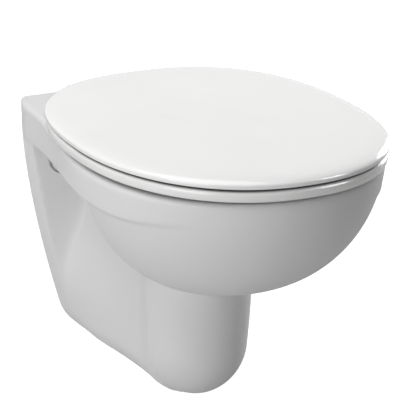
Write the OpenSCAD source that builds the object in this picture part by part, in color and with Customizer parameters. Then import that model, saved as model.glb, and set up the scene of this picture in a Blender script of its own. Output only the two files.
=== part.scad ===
// Wall hung toilet: vitreous china pan with a moulded seat and lid.
// The wall is the plane y = 0, the front of the pan points to -Y and +Z is up.
// The origin is on the wall, midway between the two wall fixings.

/* [Pan] */
// Greatest width of the china pan
pan_w = 352; // [340:1:370]
// Depth of the pan from the wall to its nose
pan_l = 514; // [490:1:540]
// Height of the rim top above the wall fixings
rim_z = 80; // [74:1:90]
// Height of the pan from its underside to the rim top
pan_h = 334; // [325:1:350]
// Width of the pan where it meets the wall
wall_w = 262; // [250:1:272]
// Distance from the wall to the widest section of the rim
belly_y = 300; // [285:1:315]
// Depth of the band under the rim top
band_h = 49; // [44:1:54]
// Thickness of the china
china = 12; // [10:0.5:14]
// Fillet along the top edge of the rim
rim_r = 7; // [4:0.5:9]

/* [Bowl] */
// Greatest width of the bowl below the band
bowl_w = 343; // [330:1:348]
// Depth of the bowl from the rim fillet to its underside
bowl_h = 166; // [150:1:176]
// Distance from the wall to the middle of the bowl at the rim
bowl_y = 312; // [300:1:320]
// Length of the bowl behind its middle
bowl_back = 126; // [110:1:135]
// How far the middle of the bowl moves back towards its underside
bowl_drift = 52; // [30:1:70]
// Width of the opening inside the rim
mouth_w = 248; // [230:1:256]
// Length of the opening inside the rim
mouth_l = 276; // [262:1:284]
// Distance from the nose of the pan to the opening
mouth_rim = 38; // [34:1:46]
// Height of the lip that hangs inside the rim
lip_h = 38; // [30:1:42]
// Thickness of the lip
lip_t = 9; // [7:0.5:11]

/* [Foot] */
// Width of the column under the bowl
column_w = 122; // [116:1:134]
// Distance from the wall to the front of the column
column_y = 300; // [292:1:308]
// Width of the narrow body behind the bowl, level with the fixings
neck_w = 112; // [106:1:120]
// Thickness of the plate that bears on the wall
plate_t = 26; // [22:1:30]
// Radius along the bottom edges of the pan
foot_r = 44; // [36:1:50]

/* [Trapway] */
// Inner diameter of the trapway
trap_d = 54; // [50:1:58]
// Wall of the trapway
trap_wall = 7; // [6:0.5:8]
// Bend radius of the lower bend
trap_bend = 56; // [50:1:60]
// Outer diameter of the outlet spigot
outlet_d = 102; // [96:1:108]
// Wall of the outlet spigot
outlet_wall = 6; // [5:0.5:8]
// Length of the outlet spigot
outlet_l = 56; // [52:1:60]
// Distance of the outlet below the fixings
outlet_drop = 100; // [96:1:104]

/* [Flush inlet] */
// Inner diameter of the china inlet socket
inlet_d = 55; // [53:0.5:57]
// Depth of the inlet socket
inlet_l = 42; // [36:1:48]
// Diameter of the duct from the socket to the rim
duct_d = 38; // [34:1:42]
// Height of the inlet above the fixings
inlet_rise = 35; // [33:1:37]
// Diameter of the flush pipe that the seal takes
flush_pipe_d = 45; // [43:0.5:46]

/* [Wall fixing] */
// Spacing of the two wall studs
stud_pitch = 180; // [174:1:186]
// Diameter of the wall studs behind the pan
stud_d = 12; // [11:1:14]
// Diameter of the wall studs where they pass through the china
shank_d = 10; // [8:0.5:10.5]
// Wall of the plastic sleeve on each stud
sleeve_wall = 2; // [1.5:0.1:2.5]
// Outer diameter of the steel washers
wall_washer_d = 30; // [28:1:32]
// Thickness of the steel washers
wall_washer_t = 2.5; // [2:0.1:3]
// Width of the wall nuts across the flats
wall_nut_af = 17; // [16:0.5:19]
// Thickness of the wall nuts
wall_nut_t = 10; // [8:0.5:12]
// How far the studs run into the wall behind the pan
stud_bed = 45; // [35:1:50]

/* [Seat and lid] */
// Width of the seat and lid
lid_w = 358; // [350:1:366]
// Distance from the wall to the back edge of the lid
lid_back = 47; // [46:1:50]
// How far the lid passes the nose of the pan
lid_lap = 8; // [5:1:11]
// Gap between the rim and the seat
seat_gap = 4.5; // [3.5:0.1:6]
// Thickness of the seat
seat_t = 14.5; // [13:0.5:16]
// Width of the opening in the seat
seat_mouth_w = 222; // [210:1:232]
// Length of the opening in the seat
seat_mouth_l = 268; // [255:1:276]
// Width of the seat at its nose
seat_nose_w = 56; // [48:1:62]
// Gap between the seat and the lid
lid_gap = 1; // [0.6:0.1:2]
// Height of the rounded edge of the lid
lid_edge = 11.5; // [11:0.5:13]
// Width of the rounded edge of the lid
lid_round = 28; // [22:1:30]
// Rise of the lid from its edge to its middle
lid_crown = 5.7; // [4.5:0.1:7]
// Thickness of the lid
lid_t = 4; // [3:0.25:4.5]

/* [Hinges] */
// Spacing of the two hinge holes
hinge_pitch = 155; // [145:1:165]
// Distance from the wall to the hinge holes
hinge_hole_y = 98; // [95:1:103]
// Distance from the wall to the hinge axis
hinge_y = 64; // [62:0.5:65]
// Height of the hinge axis above the rim
hinge_rise = 18.5; // [18:0.25:19]
// Diameter of the hinge pins
pin_d = 6; // [5:0.5:6.5]
// Running clearance of the hinge pins on the radius
pin_fit = 0.05; // [0.03:0.01:0.09]
// Radius of the hinge barrels
barrel_r = 6; // [5.8:0.1:6.2]
// Wall of the hinge bushes
bush_wall = 1.2; // [1:0.1:1.5]
// Width of the lug on each hinge post
lug_w = 12; // [10:0.5:14]
// Width of each ear of the seat and the lid
ear_w = 9; // [8:0.5:10]
// Gap between neighbouring hinge parts
side_gap = 0.5; // [0.3:0.1:0.8]
// Diameter of the seat studs
seat_stud_d = 8; // [7:0.5:8]
// Diameter of the hinge holes in the china
hinge_hole_d = 14; // [12:0.5:16]
// Thickness of the hinge foot
foot_t = 4; // [3.5:0.25:4.5]
// Thickness of the gasket under the foot
gasket_t = 1.2; // [1:0.1:1.5]

/* [Hidden] */

$fn = 48;
eps = 0.01;

// Colours of the finishes
china_colour = [0.95, 0.95, 0.94];
plastic_colour = [0.96, 0.96, 0.96];
rubber_colour = [0.25, 0.25, 0.26];
steel_colour = [0.72, 0.73, 0.74];

// Pan: derived sizes
half_w = pan_w / 2;
wall_half = wall_w / 2;
base_z = rim_z - pan_h;
band_z = rim_z - band_h;
bowl_top_z = rim_z - 4;
nose_len = pan_l - belly_y;
side_half = wall_half + 10;
corner_y = 50;
nose_power = 2.15;

// Pan: outline of the rim
function smooth(t) = let(u = min(1, max(0, t))) u * u * (3 - 2 * u);
function lobe(t, n) = pow(max(0, 1 - pow(min(1, abs(t)), n)), 1 / n);
function rim_half(y, inset) =
    y < -belly_y
        ? (half_w - inset) * lobe((-belly_y - y) / (nose_len - inset), nose_power)
    : y < -corner_y
        ? side_half + (half_w - side_half) * smooth((-corner_y - y) / (belly_y - corner_y)) - inset
    : side_half - (side_half - wall_half) * pow((corner_y + y) / corner_y, 2) - inset;

// The band leans inwards towards its lower edge, most of all away from the wall
function band_inset(y, z) =
    (rim_z - z) * (0.06 + 0.16 * smooth(-y / 120));
// The lower edge of the band rises towards the nose, where it fades into the bowl
function band_floor(y) = band_z + 11 * pow(max(0, -290 - y) / 110, 2);
function band_half(y, z) =
    z > band_floor(y) - eps ? rim_half(y, band_inset(y, z)) : 0;

// Bowl: each level is a lobed oval that shrinks towards the underside
function bowl_size(u) = pow(max(0, 1 - pow(min(1, u), 1.7)), 0.41);
function bowl_u(z) = (bowl_top_z - z) / bowl_h;
function bowl_mid(g, drift) = -bowl_y + drift * (1 - g);
function bowl_half(y, z) =
    bowl_u(z) >= 1 ? 0 :
    let(g = bowl_size(bowl_u(z)), d = y - bowl_mid(g, bowl_drift))
    bowl_w / 2 * g * (d < 0 ? lobe(d / ((pan_l - bowl_y) * g), 2)
                            : lobe(d / (bowl_back * g), 2.2));
function bowl_nose(z) =
    bowl_u(z) >= 1 ? 0 :
    let(g = bowl_size(bowl_u(z))) bowl_mid(g, bowl_drift) - (pan_l - bowl_y) * g;

// Foot: plate on the wall, narrow neck behind the bowl and column under it
taper_z = 40;
taper_len = 215;
taper_in = 38;
waist_y = 200;
column_mid = -(column_y - column_w / 2);
column_taper = 4;
column_taper_z = -110;
column_taper_len = 140;
column_step = 5;
column_step_len = 40;
function column_draw(z) = column_taper * smooth((column_taper_z - z) / column_taper_len);
trap_r = trap_d / 2;
trap_out = trap_r + trap_wall;
function foot_inset(z) =
    z > base_z + foot_r ? 0 :
    foot_r - sqrt(max(0, foot_r * foot_r - pow(base_z + foot_r - z, 2)));
function plate_half(z) =
    wall_half - taper_in * pow(max(0, taper_z - z) / taper_len, 1.5);
function column_half(y, z) =
    let(r = column_w / 2 - column_draw(z),
        d = y - column_mid)
    d < -r ? 0 : d < 0 ? sqrt(max(0, r * r - d * d)) : r;
function column_nose(z) =
    column_mid - column_w / 2 + column_draw(z);
// Side of the body as it would be with no recess
function body_half(y, z) =
    let(t = smooth(-y / waist_y))
    plate_half(z) * (1 - t) + (column_w / 2 - column_step) * t;
// The recess under the band leaves room for the wall nuts
recess_low = -185;
recess_rise = 150;
function recess(z) = smooth((z - recess_low) / recess_rise);
function recess_half(y) =
    neck_w / 2 + (wall_half - neck_w / 2) * exp(-pow(max(0, -plate_t - y) / 8, 2));
function neck_half(y, z) =
    let(k = recess(z) * smooth((-plate_t + 1 - y) / 3))
    body_half(y, z) * (1 - k) + min(recess_half(y), body_half(y, z)) * k;
function body_side(y, z) =
    y < column_mid ? column_half(y, z)
    : max(neck_half(y, z), column_half(y, z) - column_step * smooth((y - column_mid) / column_step_len));
function foot_half(y, z) =
    let(e = foot_inset(z), nose = column_nose(z))
    y < column_mid
        ? (column_half(column_mid, z) - e) * lobe((column_mid - y) / (column_mid - nose - e), 2)
        : body_side(y, z) - e;

function pan_half(y, z) =
    let(edge = z > rim_z - rim_r
            ? rim_r - sqrt(max(0, rim_r * rim_r - pow(z - rim_z + rim_r, 2))) : 0)
    z > band_z - eps
        ? max(band_half(y, z) - edge, bowl_half(y, z) - edge, foot_half(y, z))
        : max(bowl_half(y, z), foot_half(y, z));
function pan_nose(z) =
    let(edge = z > rim_z - rim_r
            ? rim_r - sqrt(max(0, rim_r * rim_r - pow(z - rim_z + rim_r, 2))) : 0)
    z > rim_z - 20
        ? -pan_l + band_inset(-pan_l, z) + edge
        : min(bowl_nose(z), column_nose(z) + foot_inset(z));

// Where the bowl meets the foot, found by halving the stretch between lo and hi
function meeting(z, lo, hi, n = 14) =
    let(mid = (lo + hi) / 2)
    n == 0 ? mid
    : bowl_half(mid, z) > foot_half(mid, z) ? meeting(z, mid, hi, n - 1)
                                            : meeting(z, lo, mid, n - 1);
function crease_y(z) =
    z > band_z - eps ? -bowl_y + bowl_back - 4
    : bowl_nose(z) < column_nose(z) - 1
        ? meeting(z, bowl_nose(z) + 0.5, -bowl_y + bowl_drift + bowl_back)
    : column_mid;

// Levels of the outer skin, from the underside up to the rim
front_stations = 16;
side_stations = 5;
wall_stations = 3;
foot_steps = 6;
foot_levels = [for (i = [0:foot_steps])
    base_z + foot_r * (1 - cos(90 * i / foot_steps))];
body_steps = 6;
body_levels = [for (i = [1:body_steps]) base_z + foot_r
    + (bowl_top_z - bowl_h - 1 - base_z - foot_r) * i / body_steps];
bowl_steps = 14;
bowl_levels = [for (i = [0:bowl_steps])
    let(z = bowl_top_z - bowl_h * sin(90 - 90 * (i + 0.12) / bowl_steps))
    if (z < band_z - 2) z];
ledge = 0.5;
deck_low = band_z - ledge;
band_levels = [deck_low, band_z, band_z + 5, band_z + 14, band_z + 26, rim_z - rim_r];
edge_steps = 4;
edge_levels = [for (i = [1:edge_steps]) rim_z - rim_r * (1 - sin(90 * i / edge_steps))];
skin_levels = concat(foot_levels, body_levels, bowl_levels, band_levels, edge_levels);

// Stations along one side: round the nose to the crease, along the side to the plate,
// round the edge of the plate and across the wall face
plate_ys = [1.12, 1, 0.85, 0.38, 0.15, 0.05];
corner_in = 1.2;
wall_in = 4;
function half_ring(z) =
    let(nose = pan_nose(z), crease = crease_y(z), start = -plate_t * 1.5,
        corner = pan_half(0, z) - wall_in)
    concat(
        [for (j = [0:front_stations])
            let(y = nose + (crease - nose) * (1 - cos(180 * j / front_stations)) / 2)
            [j == 0 ? 0 : pan_half(y, z), y]],
        [for (j = [1:side_stations])
            let(y = crease + (start - crease) * j / side_stations)
            [pan_half(y, z), y]],
        [for (f = plate_ys)
            let(y = -plate_t * f)
            [pan_half(y, z) - (f < 0.1 ? corner_in : 0), y]],
        [for (k = [0:wall_stations]) [corner * (1 - k / wall_stations), 0]]);
ring_half = front_stations + side_stations + len(plate_ys) + wall_stations + 1;
// A whole ring: the side on +X, then its mirror image
function whole_ring(half, z) =
    concat([for (p = half) [p[0], p[1], z]],
           [for (j = [ring_half - 1:-1:1]) [-half[j][0], half[j][1], z]]);

// Levels inside the rim and the bowl: height, half width, front, back and middle
mouth_mid = -(pan_l - mouth_rim - mouth_l / 2);
channel_back = -mouth_mid - mouth_l / 2 - 32;
function mouth_level(z, grow) =
    [z, mouth_w / 2 + grow, mouth_l / 2 + grow, mouth_l / 2 + grow, mouth_mid];
function channel_level(z, shrink) =
    [z, half_w - 6 - china - shrink, pan_l - 4 - china - bowl_y - shrink,
     bowl_y - channel_back - shrink, -bowl_y];
dish_steps = 11;
dish_start = 12;
dish_end = 81;
leg_gap = 2;
dish_least = 36;
sump_y = column_y - column_taper - china - trap_out - leg_gap;
sump_drift = (bowl_y - sump_y) / (1 - bowl_size(sin(dish_end)));
function dish_level(u) =
    let(g = bowl_size(u))
    [bowl_top_z - (bowl_h - china) * u,
     max((bowl_w / 2 - china) * g, dish_least),
     max((pan_l - bowl_y - china + 3) * g, dish_least),
     max((bowl_back - china - 6) * g, dish_least), -bowl_y + sump_drift * (1 - g)];
lip_z = rim_z - lip_h;
inner_levels = concat(
    [mouth_level(rim_z, 4), mouth_level(rim_z - 1.5, 1.2), mouth_level(rim_z - 5, 0),
     mouth_level(lip_z + 3, 0), mouth_level(lip_z, lip_t / 2),
     mouth_level(lip_z + 3, lip_t), mouth_level(rim_z - china - 6, lip_t),
     channel_level(rim_z - china - 2, 8), channel_level(rim_z - china - 5, 1),
     channel_level(band_z + china + 2, 1)],
    [for (i = [0:dish_steps])
        dish_level(sin(dish_start + (dish_end - dish_start) * i / dish_steps))]);
function oval_r(a, half, len, n) =
    pow(pow(abs(sin(a)) / half, n) + pow(abs(cos(a)) / len, n), -1 / n);
function inner_ring(level) =
    [for (i = [0:2 * ring_half - 1])
        let(a = 180 * i / ring_half,
            len = cos(a) > 0 ? level[2] : level[3],
            r = oval_r(a, level[1], len, level[1] > dish_least ? nose_power : 2))
        [r * sin(a), level[4] - r * cos(a), level[0]]];

// Skin over a stack of rings, closed by a flat cap at each end
function middle(ring) = [for (i = [0:2]) [for (p = ring) p[i]] * [for (p = ring) 1 / len(ring)]];
module skin(rings) {
    n = len(rings[0]);
    m = len(rings);
    points = concat([for (r = rings) each r], [middle(rings[0]), middle(rings[m - 1])]);
    sides = [for (i = [0:m - 2]) for (j = [0:n - 1])
        let(a = i * n + j, b = i * n + (j + 1) % n)
        each [[a, a + n, b], [b, a + n, b + n]]];
    caps = [for (j = [0:n - 1])
        let(k = (j + 1) % n, last = (m - 1) * n)
        each [[m * n, j, k], [m * n + 1, last + k, last + j]]];
    polyhedron(points = points, faces = concat(sides, caps));
}

// Positions shared by the pan and the pieces that it carries
fit = 0.1;
sump_z = bowl_top_z - (bowl_h - china) * sin(dish_end);
outlet_r = outlet_d / 2;
outlet_z = -outlet_drop;
bend_gap = 3;
trap_low = base_z + china + bend_gap + trap_bend + trap_out;
rise_y = -sump_y + 2 * trap_bend;
elbow = 45;
crest_gap = 2;
crest_z = outlet_z + outlet_r - outlet_wall - trap_r - crest_gap;
inlet_r = inlet_d / 2;
sleeve_r = shank_d / 2 + fit + sleeve_wall;
boss_t = 3;
seat_face = plate_t + boss_t;
flange_t = 1.5;
washer_y = seat_face + flange_t;
nut_y = washer_y + wall_washer_t;
cap_len = wall_nut_t + 11;
cap_t = 2.5;
hinge_x = hinge_pitch / 2;

// Points a cylinder towards the front, starting at distance y from the wall
module forward(y) {
    translate([0, -y, 0]) rotate([90, 0, 0]) children();
}
module both_sides(x) {
    for (s = [-1, 1]) translate([s * x, 0, 0]) children();
}

// Hollow of the foot, open at the wall. It narrows at the shelf, above which the
// china stays solid round the studs
shelf_z = -46;
shelf_h = 14;
hollow_r = foot_r - china;
hollow_base = base_z + china;
hollow_top = inlet_rise - inlet_r - 11;
throat_z = bowl_top_z - bowl_h - china;
function hollow_inset(z) =
    z > hollow_base + hollow_r ? 0 :
    hollow_r - sqrt(max(0, hollow_r * hollow_r - pow(hollow_base + hollow_r - z, 2)));
function hollow_front(z) =
    z > throat_z + 0.5 ? -bowl_y + bowl_back + 8
                       : column_nose(z) + china + hollow_inset(z);
function hollow_half(y, z) =
    let(limit = smooth((z - shelf_z + shelf_h) / shelf_h),
        open = plate_half(z) * (1 - limit) + (neck_w / 2) * limit,
        side = min(open, body_side(min(y, -plate_t - 20), z) + 200 * smooth((y + 30) / 16)))
    y < column_mid
        ? max(6, (column_half(column_mid, z) - china - hollow_inset(z))
            * lobe((column_mid - y) / (column_mid - hollow_front(z) + 1), 2))
        : side - china - hollow_inset(z);
function hollow_ring(z) =
    let(front = hollow_front(z),
        ys = concat([1, -8, -20], [for (k = [0:8]) -34 + (front + 34) * sin(90 * k / 8)]),
        half = [for (y = ys) [hollow_half(min(y, -8), z), y]])
    concat([for (k = [len(half) - 1:-1:0]) [half[k][0], half[k][1], z]],
           [for (p = half) [-p[0], p[1], z]]);
hollow_steps = 4;
hollow_levels = concat(
    [for (i = [0:hollow_steps])
        hollow_base + hollow_r * (1 - cos(90 * i / hollow_steps))],
    [for (i = [1:hollow_steps])
        let(low = hollow_base + hollow_r) low + (throat_z - low) * i / hollow_steps],
    [throat_z + 1],
    [for (f = [2.4, 1.4, 1, 0.5, 0]) shelf_z - shelf_h * f],
    [hollow_top]);
module hollow() {
    skin([for (z = hollow_levels) hollow_ring(z)]);
}

// Pockets in the deck, with a pillar left round each hinge hole
pocket_low = band_z + china;
pocket_len = 170;
pocket_gap = 18;
module deck_pockets() {
    wide = wall_half - china - inlet_r - pocket_gap;
    difference() {
        for (x = [inlet_r + pocket_gap, -wall_half + china])
            translate([x, -pocket_len, pocket_low])
                cube([wide, pocket_len + 1, rim_z - china - pocket_low]);
        both_sides(hinge_x) translate([0, -hinge_hole_y, 0])
            cylinder(r = hinge_hole_d / 2 + 8, h = rim_z);
    }
}

module china() {
    difference() {
        skin(concat([for (z = skin_levels) whole_ring(half_ring(z), z)],
                    [for (l = inner_levels) inner_ring(l)]));
        hollow();
        deck_pockets();
        translate([0, -sump_y, throat_z - 2])
            cylinder(r = trap_out + fit, h = sump_z - throat_z + 12);
        translate([0, 0, inlet_rise]) forward(-1) cylinder(r = inlet_r, h = inlet_l + 1);
        translate([0, 0, inlet_rise]) forward(0)
            cylinder(d = duct_d, h = channel_back + 10);
        both_sides(stud_pitch / 2) forward(-1)
            cylinder(r = sleeve_r + fit, h = seat_face + 2);
        both_sides(stud_pitch / 2) forward(seat_face)
            cylinder(d = wall_washer_d + 4, h = 30);
        both_sides(hinge_x) translate([0, -hinge_hole_y, band_z - 1])
            cylinder(d = hinge_hole_d, h = band_h + 2);
    }
}

// The one casting is held as two nodes, which meet face to face just behind the bowl
seam_y = channel_back + 14;
module china_between(far, near) {
    color(china_colour)
    intersection() {
        china();
        translate([-pan_w, -far, base_z - 1]) cube([2 * pan_w, far - near, pan_h + 2]);
    }
}
module pan_bowl() { china_between(pan_l + 1, seam_y); }
module pan_back() { china_between(seam_y, -1); }

// Passage from the sump to the outlet: r is its radius, over lengthens its open ends
module trap_path(r, over) {
    translate([0, -sump_y, trap_low])
        cylinder(r = r, h = sump_z - trap_low + over);
    translate([0, -sump_y + trap_bend, trap_low]) rotate([-90, 0, 90])
        rotate_extrude(angle = 180) translate([trap_bend, 0]) circle(r = r);
    translate([0, rise_y, trap_low])
        cylinder(r = r, h = crest_z - elbow - trap_low);
    translate([0, rise_y + elbow, crest_z - elbow]) rotate([90, 0, 90]) rotate([0, 0, 90])
        rotate_extrude(angle = 90) translate([elbow, 0]) circle(r = r);
    translate([0, rise_y + elbow, crest_z]) rotate([-90, 0, 0])
        cylinder(r = r, h = -rise_y - elbow - outlet_l + over / 10);
}
module trapway() {
    color(china_colour)
    difference() {
        union() {
            trap_path(trap_out, 0);
            translate([0, 0, outlet_z]) forward(3)
                cylinder(r = outlet_r, h = outlet_l + outlet_wall - 3);
        }
        trap_path(trap_r, 10);
        translate([0, 0, outlet_z]) forward(2)
            cylinder(r = outlet_r - outlet_wall, h = outlet_l - 2);
    }
}

module inlet_seal() {
    color(rubber_colour)
    translate([0, 0, inlet_rise])
    difference() {
        forward(0) cylinder(r = inlet_r - fit, h = inlet_l - 4);
        forward(-1) cylinder(d = flush_pipe_d, h = inlet_l);
    }
}

// Stepped stud: the thick end runs into the wall, the thin end takes the nut
module wall_studs() {
    color(steel_colour)
    both_sides(stud_pitch / 2) {
        forward(-stud_bed) cylinder(d = stud_d, h = stud_bed);
        forward(-1) cylinder(d = shank_d, h = nut_y + wall_nut_t + 5);
    }
}
module wall_sleeves() {
    color(plastic_colour)
    both_sides(stud_pitch / 2)
    difference() {
        union() {
            forward(0) cylinder(r = sleeve_r, h = washer_y);
            forward(seat_face) cylinder(d = wall_washer_d - 2, h = flange_t);
        }
        forward(-1) cylinder(d = shank_d + 2 * fit, h = washer_y + 2);
    }
}
module wall_washers() {
    color(steel_colour)
    both_sides(stud_pitch / 2)
    difference() {
        forward(washer_y) cylinder(d = wall_washer_d, h = wall_washer_t);
        forward(washer_y - 1) cylinder(d = shank_d + 2 * fit, h = wall_washer_t + 2);
    }
}
module wall_nuts() {
    color(steel_colour)
    both_sides(stud_pitch / 2)
    difference() {
        forward(nut_y) cylinder(d = wall_nut_af / cos(30), h = wall_nut_t, $fn = 6);
        forward(nut_y - 1) cylinder(d = shank_d + fit, h = wall_nut_t + 2);
    }
}
module wall_caps() {
    color(plastic_colour)
    both_sides(stud_pitch / 2)
    difference() {
        forward(nut_y) cylinder(d = wall_washer_d - 2, h = cap_len);
        forward(nut_y - 1)
            cylinder(d = wall_nut_af / cos(30) + 4 * fit, h = cap_len + 1 - cap_t);
    }
}

// Seat and lid: outline, inset from the widest edge, as a lobed oval in polar form
lid_nose = pan_l + lid_lap;
lid_mid = belly_y - 11;
lid_front_power = 2.18;
lid_back_power = 2.48;
seat_z = rim_z + seat_gap;
seat_top = seat_z + seat_t;
lid_z = seat_top + lid_gap;
edge_z = lid_z + lid_edge;
hinge_z = rim_z + hinge_rise;
seat_back_y = hinge_hole_y + 17;
lid_stations = 64;
function lid_r(a, inset) =
    let(front = cos(a) > 0)
    oval_r(a, lid_w / 2 - inset, (front ? lid_nose - lid_mid : lid_mid - lid_back) - inset,
        front ? lid_front_power : lid_back_power);
function outline_point(a, r, z) = [r * sin(a), -lid_mid - r * cos(a), z];
function lid_ring(inset, z, shrink = 1) =
    [for (i = [0:lid_stations - 1])
        let(a = 360 * i / lid_stations)
        outline_point(a, shrink * lid_r(a, inset), z)];

// Top of the lid: a low side, a quarter that rounds over, and a crown of the same slope
lid_side = 4;
edge_turn = 67;
round_turns = [0, 13, 27, 40, 54, edge_turn];
round_r = lid_round / (1 - cos(edge_turn));
function edge_inset(t) = round_r * (1 - cos(t));
function edge_rise(t) = lid_side + (lid_edge - lid_side) * sin(t) / sin(edge_turn);
function crown_z(s) = edge_z + lid_crown * (1 - s * s);
skirt_t = 5;
crown_steps = [0.15, 0.4, 0.62, 0.8, 0.92];
module lid_shell() {
    skin(concat(
        [for (s = crown_steps) lid_ring(lid_round, crown_z(s) - lid_t, s)],
        [lid_ring(lid_round - 5, edge_z - lid_t - 0.4), lid_ring(2.5 * skirt_t, lid_z + 5.1),
         lid_ring(1.5 * skirt_t, lid_z + 3.6), lid_ring(skirt_t, lid_z + 1.5),
         lid_ring(skirt_t, lid_z), lid_ring(0.8, lid_z), lid_ring(0, lid_z + 1)],
        [for (t = round_turns) lid_ring(edge_inset(t), lid_z + edge_rise(t))],
        [for (i = [len(crown_steps) - 1:-1:0])
            lid_ring(lid_round, crown_z(crown_steps[i]), crown_steps[i])]));
}

// Closed ring with a closed section: rings follow each other round the section
module ring_skin(rings) {
    n = len(rings[0]);
    m = len(rings);
    points = [for (r = rings) each r];
    sides = [for (i = [0:m - 1]) for (j = [0:n - 1])
        let(a = i * n + j, b = i * n + (j + 1) % n, up = ((i + 1) % m - i) * n)
        each [[a, a + up, b], [b, a + up, b + up]]];
    polyhedron(points = points, faces = sides);
}
// The outer edge follows the lid, 1.2 inside it, and runs straight at the back
seat_in = 1.2;
seat_corner = 12;
function seat_r(a, inset) =
    let(r = lid_r(a, seat_in + inset),
        straight = (lid_mid - seat_back_y - inset) / max(-cos(a), 0.01))
    pow(pow(r, -seat_corner) + pow(straight, -seat_corner), -1 / seat_corner);
function seat_ring_out(inset, z) =
    [for (i = [0:lid_stations - 1])
        let(a = 360 * i / lid_stations)
        outline_point(a, seat_r(a, inset), z)];
seat_mouth_mid = lid_nose - seat_nose_w - seat_mouth_l / 2;
function seat_ring_in(grow, z) =
    [for (i = [0:lid_stations - 1])
        let(a = 360 * i / lid_stations,
            r = oval_r(a, seat_mouth_w / 2 + grow, seat_mouth_l / 2 + grow, 2.2))
        [r * sin(a), -seat_mouth_mid - r * cos(a), z]];

// Hinge parts lie in this order from the middle outwards: seat ear, lug, lid ear
lug_in = hinge_x - lug_w / 2;
seat_ear_x = lug_in - side_gap - ear_w;
lid_ear_x = hinge_x + lug_w / 2 + side_gap;
bush_r = pin_d / 2 + pin_fit + bush_wall;
// Cylinder along +X on the hinge axis, from x on
module axle(x, r, len) {
    translate([x, -hinge_y, hinge_z]) rotate([0, 90, 0]) cylinder(r = r, h = len);
}
// Plate w thick from x on, with the given outline of distance from the wall and height
module side_plate(x, w, pts) {
    translate([x, 0, 0]) rotate([90, 0, 90]) linear_extrude(w) polygon(pts);
}

module seat_ring() {
    ear_low = hinge_z - 10;
    ear_high = seat_top - 1;
    color(plastic_colour)
    difference() {
        union() {
            ring_skin([seat_ring_out(2.2, seat_z), seat_ring_out(0.6, seat_z + 1.5),
                seat_ring_out(0, seat_z + 4), seat_ring_out(0, seat_top - 4.5),
                seat_ring_out(1.2, seat_top - 1.8), seat_ring_out(4, seat_top - 0.3),
                seat_ring_out(9, seat_top), seat_ring_in(12, seat_top - 0.4),
                seat_ring_in(4, seat_top - 2), seat_ring_in(1, seat_top - 4.5),
                seat_ring_in(0, seat_top - 8), seat_ring_in(0.8, seat_z + 1.5),
                seat_ring_in(2.5, seat_z)]);
            for (x = [seat_ear_x, -seat_ear_x - ear_w]) {
                side_plate(x, ear_w, [[-seat_back_y - 12, ear_low], [-hinge_y - 4, ear_low],
                    [-hinge_y, hinge_z - barrel_r + 0.2], [-hinge_y, hinge_z],
                    [-hinge_y - 5, ear_high], [-seat_back_y - 12, ear_high]]);
                axle(x, barrel_r, ear_w);
            }
        }
        for (x = [seat_ear_x, -seat_ear_x - ear_w])
            axle(x - 1, bush_r + 0.02, ear_w + 2);
    }
}
module bushes(x0) {
    color(rubber_colour)
    for (x = [x0, -x0 - ear_w])
    difference() {
        axle(x, bush_r, ear_w);
        axle(x - 1, pin_d / 2 + pin_fit, ear_w + 2);
    }
}
module seat_bushes() { bushes(seat_ear_x); }
module lid_bushes() { bushes(lid_ear_x); }

module lid() {
    notch_x = seat_ear_x - 3;
    notch_w = lid_ear_x + ear_w + 2 - notch_x;
    notch_z = hinge_z + barrel_r + 0.4;
    notch_y = hinge_y + 16;
    color(plastic_colour)
    difference() {
        union() {
            difference() {
                lid_shell();
                for (s = [-1, 1])
                    translate([s > 0 ? notch_x : -notch_x - notch_w, -notch_y, lid_z - 1])
                        cube([notch_w, notch_y - 4, notch_z - lid_z + 1]);
            }
            for (x = [lid_ear_x, -lid_ear_x - ear_w]) {
                axle(x, barrel_r, ear_w);
                side_plate(x, ear_w, [[-notch_y - 2, hinge_z + 2], [-hinge_y, hinge_z],
                    [-hinge_y, hinge_z + barrel_r + 1], [-notch_y - 2, edge_z - 3.5]]);
            }
        }
        for (x = [lid_ear_x, -lid_ear_x - ear_w])
            axle(x - 1, bush_r + 0.02, ear_w + 2);
    }
}

// Buffers: a short cylinder on each side, at x and a distance y from the wall
pad_gap = 0.3;
pad_r = 8;
seat_pad_reach = 120;
seat_pad_back_in = 38;
seat_pad_nose_in = 54;
lid_pad_back = 97;
lid_pad_nose_in = 80;
lid_pad_nose_share = 0.8;
module buffers(x, y, low, top) {
    color(rubber_colour)
    both_sides(x) translate([0, -y, low]) cylinder(r = pad_r, h = top - low);
}
module seat_buffers() {
    for (p = [[seat_pad_back_in, -seat_pad_reach], [seat_pad_nose_in, seat_pad_reach]])
        buffers(half_w - p[0], belly_y + p[1], rim_z + pad_gap, seat_z);
}
// Underside of the lid at the outer edge of a buffer
function crown_share(x, y) =
    let(front = y > lid_mid,
        len = (front ? lid_nose - lid_mid : lid_mid - lid_back) - lid_round,
        half = lid_w / 2 - lid_round,
        n = front ? lid_front_power : lid_back_power)
    pow(pow(x / half, n) + pow(abs(y - lid_mid) / len, n), 1 / n) + pad_r / half;
pad_play = 0.3;
function lid_under(x, y) = crown_z(crown_share(x, y)) - lid_t - pad_play;
module lid_buffers() {
    x = seat_mouth_w / 2 + 13 + pad_r;
    for (p = [[x, lid_mid - lid_pad_back],
              [lid_pad_nose_share * x, lid_nose - lid_pad_nose_in]])
        buffers(p[0], p[1], seat_top + pad_gap, lid_under(p[0], p[1]));
}

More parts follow.
